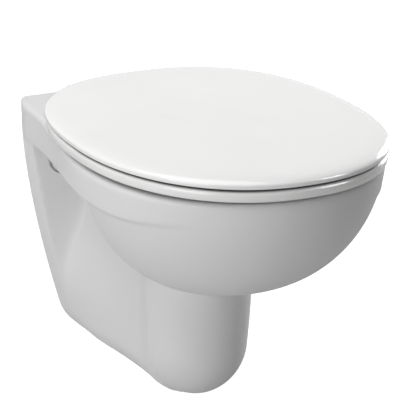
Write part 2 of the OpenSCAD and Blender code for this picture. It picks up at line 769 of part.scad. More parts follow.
// Hinge post: foot on the gasket, leg in front of the hole's rear edge and lug on the axis
foot_z = rim_z + gasket_t;
foot_back = hinge_y + 14;
foot_round = 13;
module hinge_post(s) {
    leg_y = hinge_hole_y - seat_stud_d / 2 - 2;
    color(plastic_colour)
    difference() {
        union() {
            translate([s * hinge_x, -hinge_hole_y, foot_z])
                cylinder(r = foot_round, h = foot_t);
            translate([s * hinge_x - foot_round, -hinge_hole_y, foot_z])
                cube([2 * foot_round, hinge_hole_y - foot_back, foot_t]);
            side_plate(s * hinge_x - lug_w / 2, lug_w, [
                [-leg_y, foot_z], [-foot_back - 2, foot_z], [-foot_back - 2, hinge_z - 5],
                [-hinge_y, hinge_z - 5], [-hinge_y, hinge_z + barrel_r - 0.5],
                [-leg_y + 4, hinge_z + barrel_r - 0.5], [-leg_y, hinge_z + barrel_r - 4.5]]);
            axle(s * hinge_x - lug_w / 2, barrel_r, lug_w);
        }
        axle(s * hinge_x - lug_w, pin_d / 2 + pin_fit, 2 * lug_w);
        translate([s * hinge_x, -hinge_hole_y, foot_z - 1])
            cylinder(d = seat_stud_d + fit, h = foot_t + 2);
    }
}
module hinge_post_left() { hinge_post(-1); }
module hinge_post_right() { hinge_post(1); }
module hinge_pin(s) {
    len = 2 * ear_w + lug_w + 2 * side_gap;
    color(steel_colour)
    axle(s > 0 ? seat_ear_x : -seat_ear_x - len, pin_d / 2, len);
}
module hinge_pin_left() { hinge_pin(-1); }
module hinge_pin_right() { hinge_pin(1); }
module hinge_gaskets() {
    color(rubber_colour)
    both_sides(hinge_x)
    difference() {
        union() {
            translate([0, -hinge_hole_y, rim_z]) cylinder(r = foot_round, h = gasket_t);
            translate([-foot_round, -hinge_hole_y, rim_z])
                cube([2 * foot_round, hinge_hole_y - foot_back, gasket_t]);
        }
        translate([0, -hinge_hole_y, rim_z - 1]) cylinder(d = hinge_hole_d, h = 4);
    }
}
// Fasteners of the seat under the deck
cone_h = 7;
flat_t = 1.5;
wing_h = 9;
thread_end = 5;
module seat_studs() {
    low = deck_low - cone_h - flat_t - wing_h - thread_end;
    color(steel_colour)
    both_sides(hinge_x) translate([0, -hinge_hole_y, low])
        cylinder(d = seat_stud_d, h = foot_z + foot_t - low);
}
module cone_washers() {
    color(rubber_colour)
    both_sides(hinge_x) translate([0, -hinge_hole_y, 0])
    difference() {
        union() {
            translate([0, 0, deck_low - cone_h]) cylinder(r1 = 12, r2 = 9, h = cone_h);
            translate([0, 0, deck_low]) cylinder(d = hinge_hole_d - 2 * fit, h = 6);
        }
        translate([0, 0, deck_low - cone_h - 1]) cylinder(d = seat_stud_d + fit, h = 20);
    }
}
module flat_washers() {
    color(steel_colour)
    both_sides(hinge_x) translate([0, -hinge_hole_y, deck_low - cone_h - flat_t])
    difference() {
        cylinder(r = 11, h = flat_t);
        translate([0, 0, -1]) cylinder(d = seat_stud_d + 2 * fit, h = flat_t + 2);
    }
}
wing_len = 32;
wing_t = 4;
module wing_nuts() {
    color(plastic_colour)
    both_sides(hinge_x) translate([0, -hinge_hole_y, deck_low - cone_h - flat_t - wing_h])
    difference() {
        union() {
            cylinder(r = 7.5, h = wing_h);
            translate([-wing_t / 2, -wing_len / 2, 0]) cube([wing_t, wing_len, wing_h - 1]);
        }
        translate([0, 0, -1]) cylinder(d = seat_stud_d + fit, h = wing_h + 2);
    }
}

pan_bowl();
pan_back();
trapway();
inlet_seal();
wall_studs();
wall_sleeves();
wall_washers();
wall_nuts();
wall_caps();
hinge_post_left();
hinge_post_right();
hinge_pin_left();
hinge_pin_right();
hinge_gaskets();
seat_studs();
cone_washers();
flat_washers();
wing_nuts();
seat_ring();
seat_bushes();
seat_buffers();
lid();
lid_bushes();
lid_buffers();
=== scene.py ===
# %% [markdown]
# # Wall hung toilet
# A white vitreous china pan with a pressed seat and lid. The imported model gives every
# piece at its real size and place, and this script gives each one its finished surface.
# The wall is the plane y = 0, the front of the pan points to -Y and the origin is midway
# between the two wall fixings. Lengths are in millimetres until a mesh is made. Only the
# camera and the lamps are placed in metres.

# %% Load the frame
import math
from contextlib import contextmanager

import bmesh
import bpy
import numpy as np
from mathutils import Matrix, Vector


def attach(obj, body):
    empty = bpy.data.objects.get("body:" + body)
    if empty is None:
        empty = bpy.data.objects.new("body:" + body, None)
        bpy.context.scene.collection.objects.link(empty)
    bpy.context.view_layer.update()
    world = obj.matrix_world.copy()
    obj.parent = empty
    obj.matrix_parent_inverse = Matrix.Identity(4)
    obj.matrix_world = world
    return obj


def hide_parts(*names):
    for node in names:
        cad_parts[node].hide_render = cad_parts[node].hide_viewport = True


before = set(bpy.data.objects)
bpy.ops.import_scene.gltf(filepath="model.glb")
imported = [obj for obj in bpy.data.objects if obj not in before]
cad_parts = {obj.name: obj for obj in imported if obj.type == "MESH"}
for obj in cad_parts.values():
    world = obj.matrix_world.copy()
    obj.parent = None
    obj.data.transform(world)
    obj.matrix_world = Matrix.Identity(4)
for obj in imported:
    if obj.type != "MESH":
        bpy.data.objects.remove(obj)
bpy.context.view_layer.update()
MM = 0.001

# %% [markdown]
# ## Camera
# The camera comes first, because every later choice is judged through it. Its place was
# fitted to the outline of the lid and the pan in the photograph: it looks down by
# 19 degrees from the front left, 2.4 m away, through a long lens. A target and a distance
# describe that better than raw coordinates, because each can be changed by itself.

# %% Place the camera
VIEW_AZIMUTH = -25.921
VIEW_ELEVATION = 18.986
VIEW_DISTANCE = 2.4
VIEW_TARGET = Vector((-0.13360, -0.53839, 0.100))
FRAME_PX = 415
FOCAL_PX = 2301.96
SENSOR_MM = 36.0
FAR_CLIP = 50


def view_direction(azimuth, elevation):
    """Unit vector from the target towards the camera."""
    a, e = math.radians(azimuth), math.radians(elevation)
    return Vector((math.sin(a) * math.cos(e), -math.cos(a) * math.cos(e), math.sin(e)))


def placed(name, data):
    """New object in the scene, at the origin and unturned."""
    obj = bpy.data.objects.new(name, data)
    bpy.context.scene.collection.objects.link(obj)
    return obj


def aim(obj, direction):
    """Turns an object so that its own -Z axis looks against the given direction."""
    obj.rotation_euler = direction.to_track_quat("Z", "Y").to_euler()


camera_data = bpy.data.cameras.new("camera")
camera_data.sensor_width = SENSOR_MM
camera_data.lens = FOCAL_PX / FRAME_PX * SENSOR_MM
camera_data.clip_end = FAR_CLIP
camera = placed("camera", camera_data)
to_camera = view_direction(VIEW_AZIMUTH, VIEW_ELEVATION)
camera.location = VIEW_TARGET + to_camera * VIEW_DISTANCE
aim(camera, to_camera)
bpy.context.scene.camera = camera
print("camera at", [round(v, 3) for v in camera.location], "lens", round(camera_data.lens, 1))

# %% [markdown]
# ## Finishes
# Every finish starts from the real material: its refractive index sets how much it
# reflects, and how it was made sets the roughness and the small unevenness. Colours are
# written as the hex values that a colour chart gives, and one function turns them into
# the linear numbers that the renderer works with.

# %% Colour and node helpers
def linear(hex_colour):
    """Linear RGBA from an sRGB hex colour."""
    parts = [int(hex_colour[i:i + 2], 16) / 255 for i in (1, 3, 5)]
    curve = [c / 12.92 if c <= 0.04045 else ((c + 0.055) / 1.055) ** 2.4 for c in parts]
    return (*curve, 1.0)


def add_node(tree, kind, links=None, **settings):
    """Adds a node, sets its properties, and fills or links its inputs."""
    node = tree.nodes.new(kind)
    for name, value in settings.items():
        setattr(node, name, value)
    for key, value in (links or {}).items():
        if isinstance(value, bpy.types.NodeSocket):
            tree.links.new(value, node.inputs[key])
        else:
            node.inputs[key].default_value = value
    return node


print("white glaze in linear light:", [round(v, 3) for v in linear("#F1F1EF")])

# %% [markdown]
# ### Patterns
# A pattern drives the colour, the gloss or the relief of a surface, and its scale is a
# real size in millimetres. The gaps under the lid, the seat and the rim are darker in
# the photograph than soft light leaves them. So a finish may take a painted shade there:
# it turns to a third, dark colour where little open air lies within 14 mm. That is
# measured on the surface itself, so the painted shade in a gap is as dark from every side.

# %% A finish and its patterns
BLOTCHES, CRYSTALS = ("ShaderNodeTexNoise", 0), ("ShaderNodeTexVoronoi", "Color")
GAP_REACH, GAP_CLOSED, GAP_OPEN = 14.0, 0.25, 0.8
GLOSS_FROM, GLOSS_TO = 0.3, 0.7


def tint(tree, shader, value, colours, stops, painted_gap_shade):
    """Colour that wanders between two hex colours, and turns to a third, a painted shade, in narrow gaps.
    """
    ramp = add_node(tree, "ShaderNodeValToRGB")
    for stop, position, colour in zip(ramp.color_ramp.elements, stops, colours):
        stop.position, stop.color = position, linear(colour)
    # Painted shade: where the ambient occlusion node finds little open air, the colour is pulled towards
    # the dark gap colour.
    if painted_gap_shade:
        ramp.color_ramp.elements.new(0.0).color = linear(painted_gap_shade)
        air = add_node(tree, "ShaderNodeAmbientOcclusion", {"Distance": GAP_REACH * MM}).outputs["AO"]
        openness = add_node(tree, "ShaderNodeMapRange",
                            {"Value": air, "From Min": GAP_CLOSED, "From Max": GAP_OPEN})
        terms = {0: value, 1: openness.outputs[0]}
        value = add_node(tree, "ShaderNodeMath", terms, operation="MULTIPLY").outputs[0]
    tree.links.new(value, ramp.inputs["Fac"])
    tree.links.new(ramp.outputs[0], shader.inputs["Base Color"])


def new_finish(name, roughness, patterns, ior=1.5, metallic=0.0, stops=(0.35, 0.65),
               painted_gap_shade=None, stretch=None):
    """Material whose patterns drive its colour, its gloss and its relief.

    A pattern's row says what it drives, its kind, its size in mm and its detail. Last comes
    what it gives: two colours, the least and the most roughness, or a depth in mm.
    """
    material = bpy.data.materials.new(name)
    material.use_nodes = True
    tree = material.node_tree
    tree.nodes.clear()
    shader = add_node(tree, "ShaderNodeBsdfPrincipled",
                      {"Metallic": metallic, "IOR": ior, "Roughness": roughness})
    add_node(tree, "ShaderNodeOutputMaterial", {"Surface": shader.outputs["BSDF"]})
    place = add_node(tree, "ShaderNodeTexCoord").outputs["Object"]
    if stretch:
        place = add_node(tree, "ShaderNodeMapping", {"Vector": place, "Scale": stretch}).outputs[0]
    for drives, (kind, output), size_mm, detail, given in patterns:
        pattern = add_node(tree, kind, {"Vector": place, "Scale": 1000 / size_mm, "Detail": detail})
        value = pattern.outputs[output]
        if drives == "colour":
            tint(tree, shader, value, given, stops, painted_gap_shade)
        elif drives == "gloss":
            ends = dict(zip(("From Min", "From Max", "To Min", "To Max"), (GLOSS_FROM, GLOSS_TO, *given)))
            change = add_node(tree, "ShaderNodeMapRange", {"Value": value, **ends})
            tree.links.new(change.outputs[0], shader.inputs["Roughness"])
        else:
            depth = {"Height": value, "Distance": given * MM, "Strength": 1.0}
            tree.links.new(add_node(tree, "ShaderNodeBump", depth).outputs[0], shader.inputs["Normal"])
    return material


print("gaps darken within", GAP_REACH, "mm")

# %% [markdown]
# ### Glazed and bare china
# Vitreous china is dipped in a white glaze that melts to a glass of index 1.5. It is
# almost mirror smooth, with slow waves where the glaze ran, a few centimetres apart and
# only hundredths of a millimetre deep. Where the pan meets the wall, and inside the foot,
# the glaze is wiped off and the fired body shows, dull and slightly warm. The trapway is
# glazed inside and out, a little thinner than the pan, so it is less smooth.

# %% China
# The glaze turns to a painted shade, #6E6E6C, in narrow gaps.
GLAZE = new_finish("vitreous_china_glaze", 0.07, painted_gap_shade="#6E6E6C", patterns=[
    ("colour", BLOTCHES, 120, 2.0, ("#F0F0EE", "#F4F4F3")),
    ("gloss", BLOTCHES, 35, 2.0, (0.05, 0.09)),
    ("relief", BLOTCHES, 28, 1.0, 0.02)])
BISCUIT = new_finish("unglazed_china_body", 0.75, [
    ("colour", BLOTCHES, 1.2, 4.0, ("#DDD9D0", "#E9E6DF")),
    ("relief", BLOTCHES, 1.2, 4.0, 0.06)])
TRAP_GLAZE = new_finish("trapway_glaze", 0.12, [
    ("colour", BLOTCHES, 60, 2.0, ("#E9E9E5", "#F1F1EE")),
    ("relief", BLOTCHES, 14, 2.0, 0.03)])
print("china:", GLAZE.name, BISCUIT.name, TRAP_GLAZE.name)

# %% [markdown]
# ### Plastics and rubber
# The seat and the lid are pressed from a hard white resin in polished moulds, so they are
# nearly as glossy as the china, and a touch whiter. The hinge parts and caps come from
# moulds with a fine satin texture. Nylon is slightly yellow and waxy. Rubber is dull with
# a fine grain: its size of 0.8 mm is coarser than the real one, so that it can show.

# %% Plastics and rubber
# The resin turns to a painted shade, #707070, in narrow gaps.
RESIN = new_finish("pressed_seat_resin", 0.14, ior=1.55, painted_gap_shade="#707070", patterns=[
    ("colour", BLOTCHES, 150, 2.0, ("#F3F3F2", "#F6F6F5")),
    ("gloss", BLOTCHES, 40, 2.0, (0.12, 0.17)),
    ("relief", BLOTCHES, 60, 1.0, 0.015)])


def moulded(name, first, second, roughness, ior, grain_mm, depth_mm):
    """Moulded plastic or rubber with a fine grain."""
    return new_finish(name, roughness, [
        ("colour", BLOTCHES, 20 * grain_mm, 2.0, (first, second)),
        ("gloss", BLOTCHES, grain_mm, 3.0, (roughness - 0.05, roughness + 0.05)),
        ("relief", BLOTCHES, grain_mm, 3.0, depth_mm)], ior)


HINGE_ABS = moulded("satin_hinge_abs", "#EDEDEB", "#F2F2F1", 0.32, 1.54, 0.6, 0.01)
CAP_PP = moulded("moulded_polypropylene", "#E9E9E5", "#EFEFEC", 0.42, 1.49, 0.8, 0.015)
NYLON = moulded("natural_nylon", "#E4DFCF", "#ECE8DC", 0.45, 1.53, 0.5, 0.01)
GASKET_TPE = moulded("soft_gasket_elastomer", "#C9CAC9", "#D4D5D4", 0.55, 1.5, 0.7, 0.02)
RUBBER = moulded("black_epdm_rubber", "#1E1E1F", "#2B2B2C", 0.62, 1.52, 0.8, 0.03)
print("plastics:", RESIN.name, HINGE_ABS.name, CAP_PP.name, NYLON.name)

# %% [markdown]
# ### Metals
# The wall studs, nuts and washers are zinc plated steel. The plating grows in small
# crystals, so its gloss changes from spot to spot. They are drawn 3 mm across, coarser
# than the real ones, so that they can show. The hinge pins are drawn stainless steel,
# with fine lines along their length.

# %% Metals
CRYSTAL_MM = 3.0
ZINC = new_finish("zinc_plated_steel", 0.34, metallic=1.0, stops=(0.2, 0.8), patterns=[
    ("colour", CRYSTALS, CRYSTAL_MM, 0.0, ("#B9BDC2", "#D3D6D9")),
    ("gloss", BLOTCHES, 4.0, 2.0, (0.28, 0.42)),
    ("relief", BLOTCHES, 1.0, 2.0, 0.01)])
STAINLESS = new_finish("drawn_stainless_steel", 0.2, metallic=1.0, stretch=(0.02, 1, 1), patterns=[
    ("colour", BLOTCHES, 0.5, 2.0, ("#C8C8CA", "#DCDCDD")),
    ("gloss", BLOTCHES, 0.5, 2.0, (0.16, 0.26)),
    ("relief", BLOTCHES, 0.5, 2.0, 0.004)])
print("metals:", ZINC.name, STAINLESS.name)

# %% [markdown]
# ## The pan as a field of distances
# A china pan is cast in plaster moulds, so every edge is round and every form runs softly
# into the next. Joining separate meshes would give hard creases, and sculpting by hand
# can't be repeated. So the pan is written as a field: for any point, one number says how
# far it lies outside (+) or inside (-) the china. Forms are joined and cut by arithmetic
# on that number, and a radius in the arithmetic becomes a real fillet.

# %% Sizes of the pan
PAN_W, PAN_L, RIM_Z, PAN_H = 352.0, 514.0, 80.0, 334.0
WALL_W, BELLY_Y, BAND_H, CHINA, RIM_R = 262.0, 300.0, 49.0, 12.0, 7.0
BOWL_W, BOWL_H, BOWL_Y, BOWL_BACK, BOWL_DRIFT = 343.0, 166.0, 312.0, 126.0, 52.0
MOUTH_W, MOUTH_L, MOUTH_RIM, LIP_H, LIP_T = 248.0, 276.0, 38.0, 38.0, 9.0
COLUMN_W, COLUMN_Y, NECK_W, PLATE_T, FOOT_R = 131.0, 301.0, 112.0, 26.0, 42.0
FOOT_LIFT, BOWL_INSET, SIDE_SPREAD = 3, 4, 10
BASE_Z = RIM_Z - PAN_H + FOOT_LIFT
NOSE_ROUND, WALL_ROUND = 20.0, 9.0
BAND_Z = RIM_Z - BAND_H
BOWL_TOP = RIM_Z - BOWL_INSET
SIDE_HALF = WALL_W / 2 + SIDE_SPREAD
CORNER_Y = 50.0
NOSE_POWER = 2.15
COLUMN_TAPER, COLUMN_STEP = 8.5, 9.0
COLUMN_MID = -(COLUMN_Y - COLUMN_W / 2)
SUMP_Y = 248.0
MOUTH_MID = -(PAN_L - MOUTH_RIM - MOUTH_L / 2)
print("pan stands from z", BASE_Z, "to", RIM_Z, "and its sump is", SUMP_Y, "from the wall")

# %% [markdown]
# ### Arithmetic on distances
# `round_cut` keeps what lies inside both forms and `round_join` what lies inside either.
# Where two surfaces cross, each rounds the corner with the given radius. Two surfaces
# that run side by side shouldn't swell, so the radius shrinks with the angle between
# their normals. Each form is first written in any handy units and then scaled to
# millimetres by its own slope.

# %% Smooth joins and cuts
STEP = 0.05


def smooth(t):
    """Eases from 0 to 1 with level ends."""
    u = np.clip(t, 0, 1)
    return u * u * (3 - 2 * u)


def measured(form, x, y, z):
    """Distance to a form and its normal, from the form's value and slope."""
    v = form(x, y, z)
    gx = (form(x + STEP, y, z) - v) / STEP
    gy = (form(x, y + STEP, z) - v) / STEP
    gz = (form(x, y, z + STEP) - v) / STEP
    slope = np.sqrt(gx * gx + gy * gy + gz * gz) + 1e-9
    return v / slope, np.stack([gx, gy, gz]) / slope


def round_cut(a, b, radius):
    """Inside both a and b, with a round edge where they cross."""
    u, v = np.maximum(a + radius, 0), np.maximum(b + radius, 0)
    return np.minimum(np.maximum(a, b), -radius) + np.sqrt(u * u + v * v)


def round_join(a, b, radius):
    """Inside a or b, with a fillet where they cross."""
    return -round_cut(-a, -b, radius)


def soft_join(first, second, radius):
    """A fillet that fades where the two surfaces run side by side."""
    (a, na), (b, nb) = first, second
    turn = np.clip(1 - np.sum(na * nb, axis=0), 0, 1)
    r = radius * turn + 0.01
    near_a = (a < b)[None]
    return round_join(a, b, r), np.where(near_a, na, nb)


print("join of two faces 1 mm away:", round(float(round_join(1.0, 1.0, 10.0)), 2))

# %% [markdown]
# ### The outer forms
# Three forms make the outside. The band is the thick rim seen from above: a rounded nose,
# sides that draw in towards the wall, and a lower edge that fades into the bowl at the
# front. The bowl is an egg whose middle moves back as it shrinks. The foot is the plate on
# the wall, the narrow neck behind the bowl and the column below it. Few of these forms
# are straight: a mould needs draft, so most sizes ease from one value to another. Below,
# FROM is where such a change starts and RUN how long it takes.

# %% The rim's band
DRAFT, SIDE_DRAFT, NOSE_DRAFT = 0.06, 0.07, 0.08
SIDE_RUN, NOSE_FROM, NOSE_RUN = 190, -400, 90
EDGE_RISE, EDGE_FROM, EDGE_RUN, EDGE_R = 7, -110, 150, 2.5
TIP_RISE, TIP_FROM, TIP_RUN, TIP_POWER = 9, -345, 95, 1.5


def oval(x, y, half, front, back, power, mid):
    """Gauge of a lobed oval: 1 on its outline, less inside."""
    length = np.where(y < mid, front, back)
    return (np.abs(x / half) ** power + np.abs((y - mid) / length) ** power) ** (1 / power)


def band_side(x, y, z):
    """Side of the band, which draws in downwards."""
    drop = RIM_Z - z
    inset = drop * (DRAFT + SIDE_DRAFT * smooth(-y / SIDE_RUN)
                    + NOSE_DRAFT * smooth((NOSE_FROM - y) / NOSE_RUN))
    nose = PAN_L - BELLY_Y - inset
    half = PAN_W / 2 - inset
    forward = np.maximum(-BELLY_Y - y, 0)
    gauge = (np.abs(x) / half) ** NOSE_POWER + (forward / nose) ** NOSE_POWER
    gauge = gauge ** (1 / NOSE_POWER)
    side = SIDE_HALF + (PAN_W / 2 - SIDE_HALF) * smooth((-CORNER_Y - y) / (BELLY_Y - CORNER_Y))
    corner = (SIDE_HALF - WALL_W / 2) * (np.maximum(CORNER_Y + y, 0) / CORNER_Y) ** 2
    return np.where(y < -BELLY_Y, (gauge - 1) * half, np.abs(x) - (side - corner - inset))


def band(x, y, z):
    """Distance to the band and its normal. Its lower edge rises towards the tip."""
    side = measured(band_side, x, y, z)
    floor = (BAND_Z + EDGE_RISE * smooth((EDGE_FROM - y) / EDGE_RUN)
             + TIP_RISE * (np.maximum(0, TIP_FROM - y) / TIP_RUN) ** TIP_POWER)
    d = round_cut(side[0], floor - z, EDGE_R)
    down = np.array([0, 0, -1.0]).reshape(3, *[1] * x.ndim)
    return d, np.where((side[0] > floor - z)[None], side[1], down)


print("band is", BAND_H, "high and draws in by", DRAFT, "of its depth")

# %% The bowl
BOWL_POWER, BOWL_CURVE, BOWL_OVAL = 0.41, 1.7, 2.07
SUMP_END = math.sin(math.radians(81))


def bowl_size(u):
    """Share of the bowl's full size at depth u, down to where the sump begins."""
    return (1 - np.clip(u, 0, SUMP_END) ** BOWL_CURVE) ** BOWL_POWER


def egg(x, y, z, half, front, back, height, drift):
    """Egg under the rim: below zero inside. Its middle drifts back as it shrinks."""
    u = np.maximum((BOWL_TOP - z) / height, 0)
    mid = -BOWL_Y + drift * (1 - bowl_size(u))
    gauge = oval(x, y, half, front, back, BOWL_OVAL, mid)
    return gauge ** (1 / BOWL_POWER) + u ** BOWL_CURVE - 1


def bowl_form(x, y, z):
    return egg(x, y, z, BOWL_W / 2, PAN_L - BOWL_Y, BOWL_BACK, BOWL_H, BOWL_DRIFT)


print("bowl is", BOWL_W, "wide and", BOWL_H, "deep")

# %% The foot
PLATE_DRAW, PLATE_FROM, PLATE_RUN, PLATE_POWER = 38, 40, 215, 1.5
BODY_RUN, FLARE_RUN, NECK_FROM, NECK_RUN, NECK_EDGE = 200, 8, -185, 150, 3
TAPER_FROM, TAPER_RUN, STEP_RUN, FOLD_R = -110, 140, 40, 14.0
TURN_RUN, NOSE_BACK, WALL_AHEAD = 60, 30, 90
NOWHERE = 1e3


def plate_half(z):
    """Half width of the plate on the wall, which narrows downwards."""
    return WALL_W / 2 - PLATE_DRAW * (np.maximum(PLATE_FROM - z, 0) / PLATE_RUN) ** PLATE_POWER


def body_half(y, z):
    """Half width of the foot: the wall plate's at the back, the column's at the front."""
    t = smooth(-y / BODY_RUN)
    return plate_half(z) * (1 - t) + (COLUMN_W / 2 - COLUMN_STEP) * t


def neck_half(y, z):
    """Half width of the neck, which flares into the plate and widens to the foot below."""
    flare = (WALL_W - NECK_W) / 2 * np.exp(-(np.maximum(0, -PLATE_T - y) / FLARE_RUN) ** 2)
    k = smooth((z - NECK_FROM) / NECK_RUN) * smooth((-PLATE_T + 1 - y) / NECK_EDGE)
    body = body_half(y, z)
    return body * (1 - k) + np.minimum(NECK_W / 2 + flare, body) * k


def column_half(z):
    return COLUMN_W / 2 - COLUMN_TAPER * smooth((TAPER_FROM - z) / TAPER_RUN)


def foot_side(x, y, z, half=neck_half, wall=0):
    """Side of the foot: a round column in front, and the neck behind it to the wall."""
    ahead = np.minimum(y - COLUMN_MID, 0)
    column = np.sqrt(x * x + ahead * ahead) - column_half(z) + wall
    column = column + COLUMN_STEP * smooth((y - COLUMN_MID) / STEP_RUN)
    neck = np.where(y > COLUMN_MID, np.abs(x) - half(y, z), NOWHERE)
    return round_join(column, neck, FOLD_R)


def foot_turn(y):
    """Radius of the foot's lower edge: wider at the wall and round the nose."""
    nose = NOSE_ROUND * smooth((COLUMN_MID + NOSE_BACK - y) / TURN_RUN)
    return FOOT_R + nose + WALL_ROUND * smooth((y + WALL_AHEAD) / TURN_RUN)


print("column is", COLUMN_W, "wide and tapers by", 2 * COLUMN_TAPER)

# %% The whole outside
BOWL_FILLET, BAND_FILLET = 16.0, 4.0
BOWL_TOP_R, WALL_EDGE_R = 2.0, 3.0


def outer(x, y, z):
    """Distance to the outside of the pan, before any hollow is cut."""
    foot = measured(foot_side, x, y, z)
    foot = round_cut(foot[0], BASE_Z - z, foot_turn(y)), foot[1]
    bowl = measured(bowl_form, x, y, z)
    bowl = round_cut(bowl[0], z - BOWL_TOP, BOWL_TOP_R), bowl[1]
    body = soft_join(bowl, foot, BOWL_FILLET)
    whole = soft_join(band(x, y, z), body, BAND_FILLET)[0]
    whole = round_cut(whole, z - RIM_Z, RIM_R)
    return round_cut(whole, y, WALL_EDGE_R)


print("fillets of", BOWL_FILLET, "and", BAND_FILLET, "mm join the forms")

# %% [markdown]
# ### The hollows
# Water runs under the rim in a channel that a hanging lip hides, then down the dish to
# the sump. The foot is hollow and open at the wall, where the drain joins. A hollow is a
# form as well: cutting it is keeping what lies outside it, so its distance changes sign.

# %% Inner forms
LIP_Z = RIM_Z - LIP_H
CHANNEL_TOP = RIM_Z - CHINA - 2
HOLLOW_TOP, SHELF_Z, SHELF_H = -3.5, -46.0, 14.0
SUMP_DRIFT = (BOWL_Y - SUMP_Y) / (1 - float(bowl_size(SUMP_END)))
SUMP_HOLE_R, SUMP_Z, SUMP_HALF_H = 34.1, -86, 26
DISH_FRONT, DISH_BACK = 3, 6
ROOM_FROM, ROOM_RUN = -8, 25
ROOM_BOWL_R, SHELF_R, ROOM_TOP_R = 6.0, 3.0, 4.0


def dish_form(x, y, z):
    """Inside of the bowl: an egg one wall smaller, whose end meets the sump."""
    return egg(x, y, z, BOWL_W / 2 - CHINA, PAN_L - BOWL_Y - CHINA + DISH_FRONT,
               BOWL_BACK - CHINA - DISH_BACK, BOWL_H - CHINA, SUMP_DRIFT)


def mouth_form(x, y, z):
    """The opening inside the rim."""
    half_l = MOUTH_L / 2
    return (oval(x, y, MOUTH_W / 2, half_l, half_l, NOSE_POWER, MOUTH_MID) - 1) * MOUTH_W / 2


def shelf_form(x, y, z):
    """Narrow above the shelf, and wider than the pan below it."""
    t = smooth((z - SHELF_Z + SHELF_H) / SHELF_H)
    return np.abs(x) - (NECK_W / 2 - CHINA + PAN_W / 2 * (1 - t))


def room_half(y, z):
    """Half width of the room in the foot, one wall inside the neck."""
    k = smooth((z - NECK_FROM) / NECK_RUN) * smooth((ROOM_FROM - y) / ROOM_RUN)
    body = body_half(y, z)
    return body * (1 - k) + np.minimum(NECK_W / 2, body) * k - CHINA


def room_side(x, y, z):
    return foot_side(x, y, z, room_half, CHINA)


def hollow(x, y, z):
    """Hollow of the foot, with solid china kept round the wall studs."""
    side = measured(room_side, x, y, z)[0]
    room = round_cut(side, BASE_Z + CHINA - z, foot_turn(y) - CHINA)
    room = round_cut(room, CHINA - measured(bowl_form, x, y, z)[0], ROOM_BOWL_R)
    room = round_cut(room, measured(shelf_form, x, y, z)[0], SHELF_R)
    return round_cut(room, z - HOLLOW_TOP, ROOM_TOP_R)


def block(x, y, z, low, high, radius):
    """Rounded block between two corners, the same on both sides of the middle."""
    spans = [(v - (l + h) / 2, (h - l) / 2) for v, l, h in zip((np.abs(x), y, z), low, high)]
    d = [np.abs(v) - half + radius for v, half in spans]
    far = np.sqrt(sum(np.maximum(v, 0) ** 2 for v in d))
    return far + np.minimum(np.maximum(np.maximum(d[0], d[1]), d[2]), 0) - radius


def tube(u, v, radius):
    """Endless round bar, seen along its axis."""
    return np.sqrt(u * u + v * v) - radius


print("channel under the rim ends at z", CHANNEL_TOP, "and the lip at z", LIP_Z)

# %% All of the china
HINGE_X, HINGE_Y, HINGE_HOLE_R, PILLAR = 77.5, 98.0, 7.0, 8.0
INLET_Z, INLET_R, INLET_L, DUCT_R, DUCT_L = 35.0, 27.5, 42.0, 19.0, 178.0
DECK_LOW, DECK_HIGH, DECK_R = (45.5, -170.0, 43.0), (119.0, 20.0, 68.0), 4.0
CHANNEL_R, HOLLOW_EDGE, CORNER_R, BORE_EDGE = 8.0, 3.0, 1.0, 2.0
LIP_END_R, LIP_TOP_R, LIP_ROOT_R, LIP_SUNK = 4.0, 3.0, 8.0, 1
MOUTH_EDGE, MOUTH_PAST_LIP, PILLAR_R, DECK_EDGE = 5.0, 6, 2.0, 2.5


def china_field(x, y, z):
    """Distance to the china, negative inside it."""
    d = outer(x, y, z)
    dish = round_cut(measured(dish_form, x, y, z)[0], z - CHANNEL_TOP, CHANNEL_R)
    d = round_cut(d, -dish, HOLLOW_EDGE)
    mouth = measured(mouth_form, x, y, z)[0]
    lip = round_cut(np.abs(mouth - LIP_T / 2) - LIP_T / 2, LIP_Z - z, LIP_END_R)
    lip = round_cut(lip, z - RIM_Z + LIP_SUNK, LIP_TOP_R)
    d = round_join(d, lip, LIP_ROOT_R)
    mouth = round_cut(mouth, LIP_Z - MOUTH_PAST_LIP - z, CORNER_R)
    d = round_cut(d, -mouth, MOUTH_EDGE)
    sump = tube(x, y + SUMP_Y, SUMP_HOLE_R)
    sump = round_cut(sump, np.abs(z - SUMP_Z) - SUMP_HALF_H, CORNER_R)
    d = round_cut(d, -sump, HOLLOW_EDGE)
    d = round_cut(d, -hollow(x, y, z), HOLLOW_EDGE)
    pillar = tube(np.abs(x) - HINGE_X, y + HINGE_Y, HINGE_HOLE_R + PILLAR)
    deck = round_cut(block(x, y, z, DECK_LOW, DECK_HIGH, DECK_R), -pillar, PILLAR_R)
    d = round_cut(d, -deck, DECK_EDGE)
    socket = round_cut(tube(x, z - INLET_Z, INLET_R), -INLET_L - y, CORNER_R)
    duct = round_cut(tube(x, z - INLET_Z, DUCT_R), -DUCT_L - y, CORNER_R)
    return round_cut(d, -round_join(socket, duct, BORE_EDGE), BORE_EDGE)


print("sump of the dish at z", round(BOWL_TOP - (BOWL_H - CHINA) * SUMP_END, 1))

# %% [markdown]
# ### From field to mesh
# The field is read on a grid, and each cell that the surface crosses gets one point at
# the mean of its crossings. The four cells round a crossed grid line make one quad. The
# points then slide evenly over the surface and are pulled exactly onto it along the
# slope, because gloss shows every ripple. The pan is symmetric, so one half is enough.

# %% Read the field
CELL = 3.7
SLAB = 24
ON_MIRROR = 1e-6


def read_grid(field, low, high, cell):
    """Values of the field on a grid, read in slabs to save memory."""
    counts = [int(math.ceil((h - l) / cell)) + 1 for l, h in zip(low, high)]
    axes = [l + cell * np.arange(n) for l, n in zip(low, counts)]
    slabs = []
    for start in range(0, counts[0], SLAB):
        part = np.meshgrid(axes[0][start:start + SLAB], axes[1], axes[2], indexing="ij")
        slabs.append(field(*part))
    return np.concatenate(slabs), axes


print("grid cell", CELL, "mm")


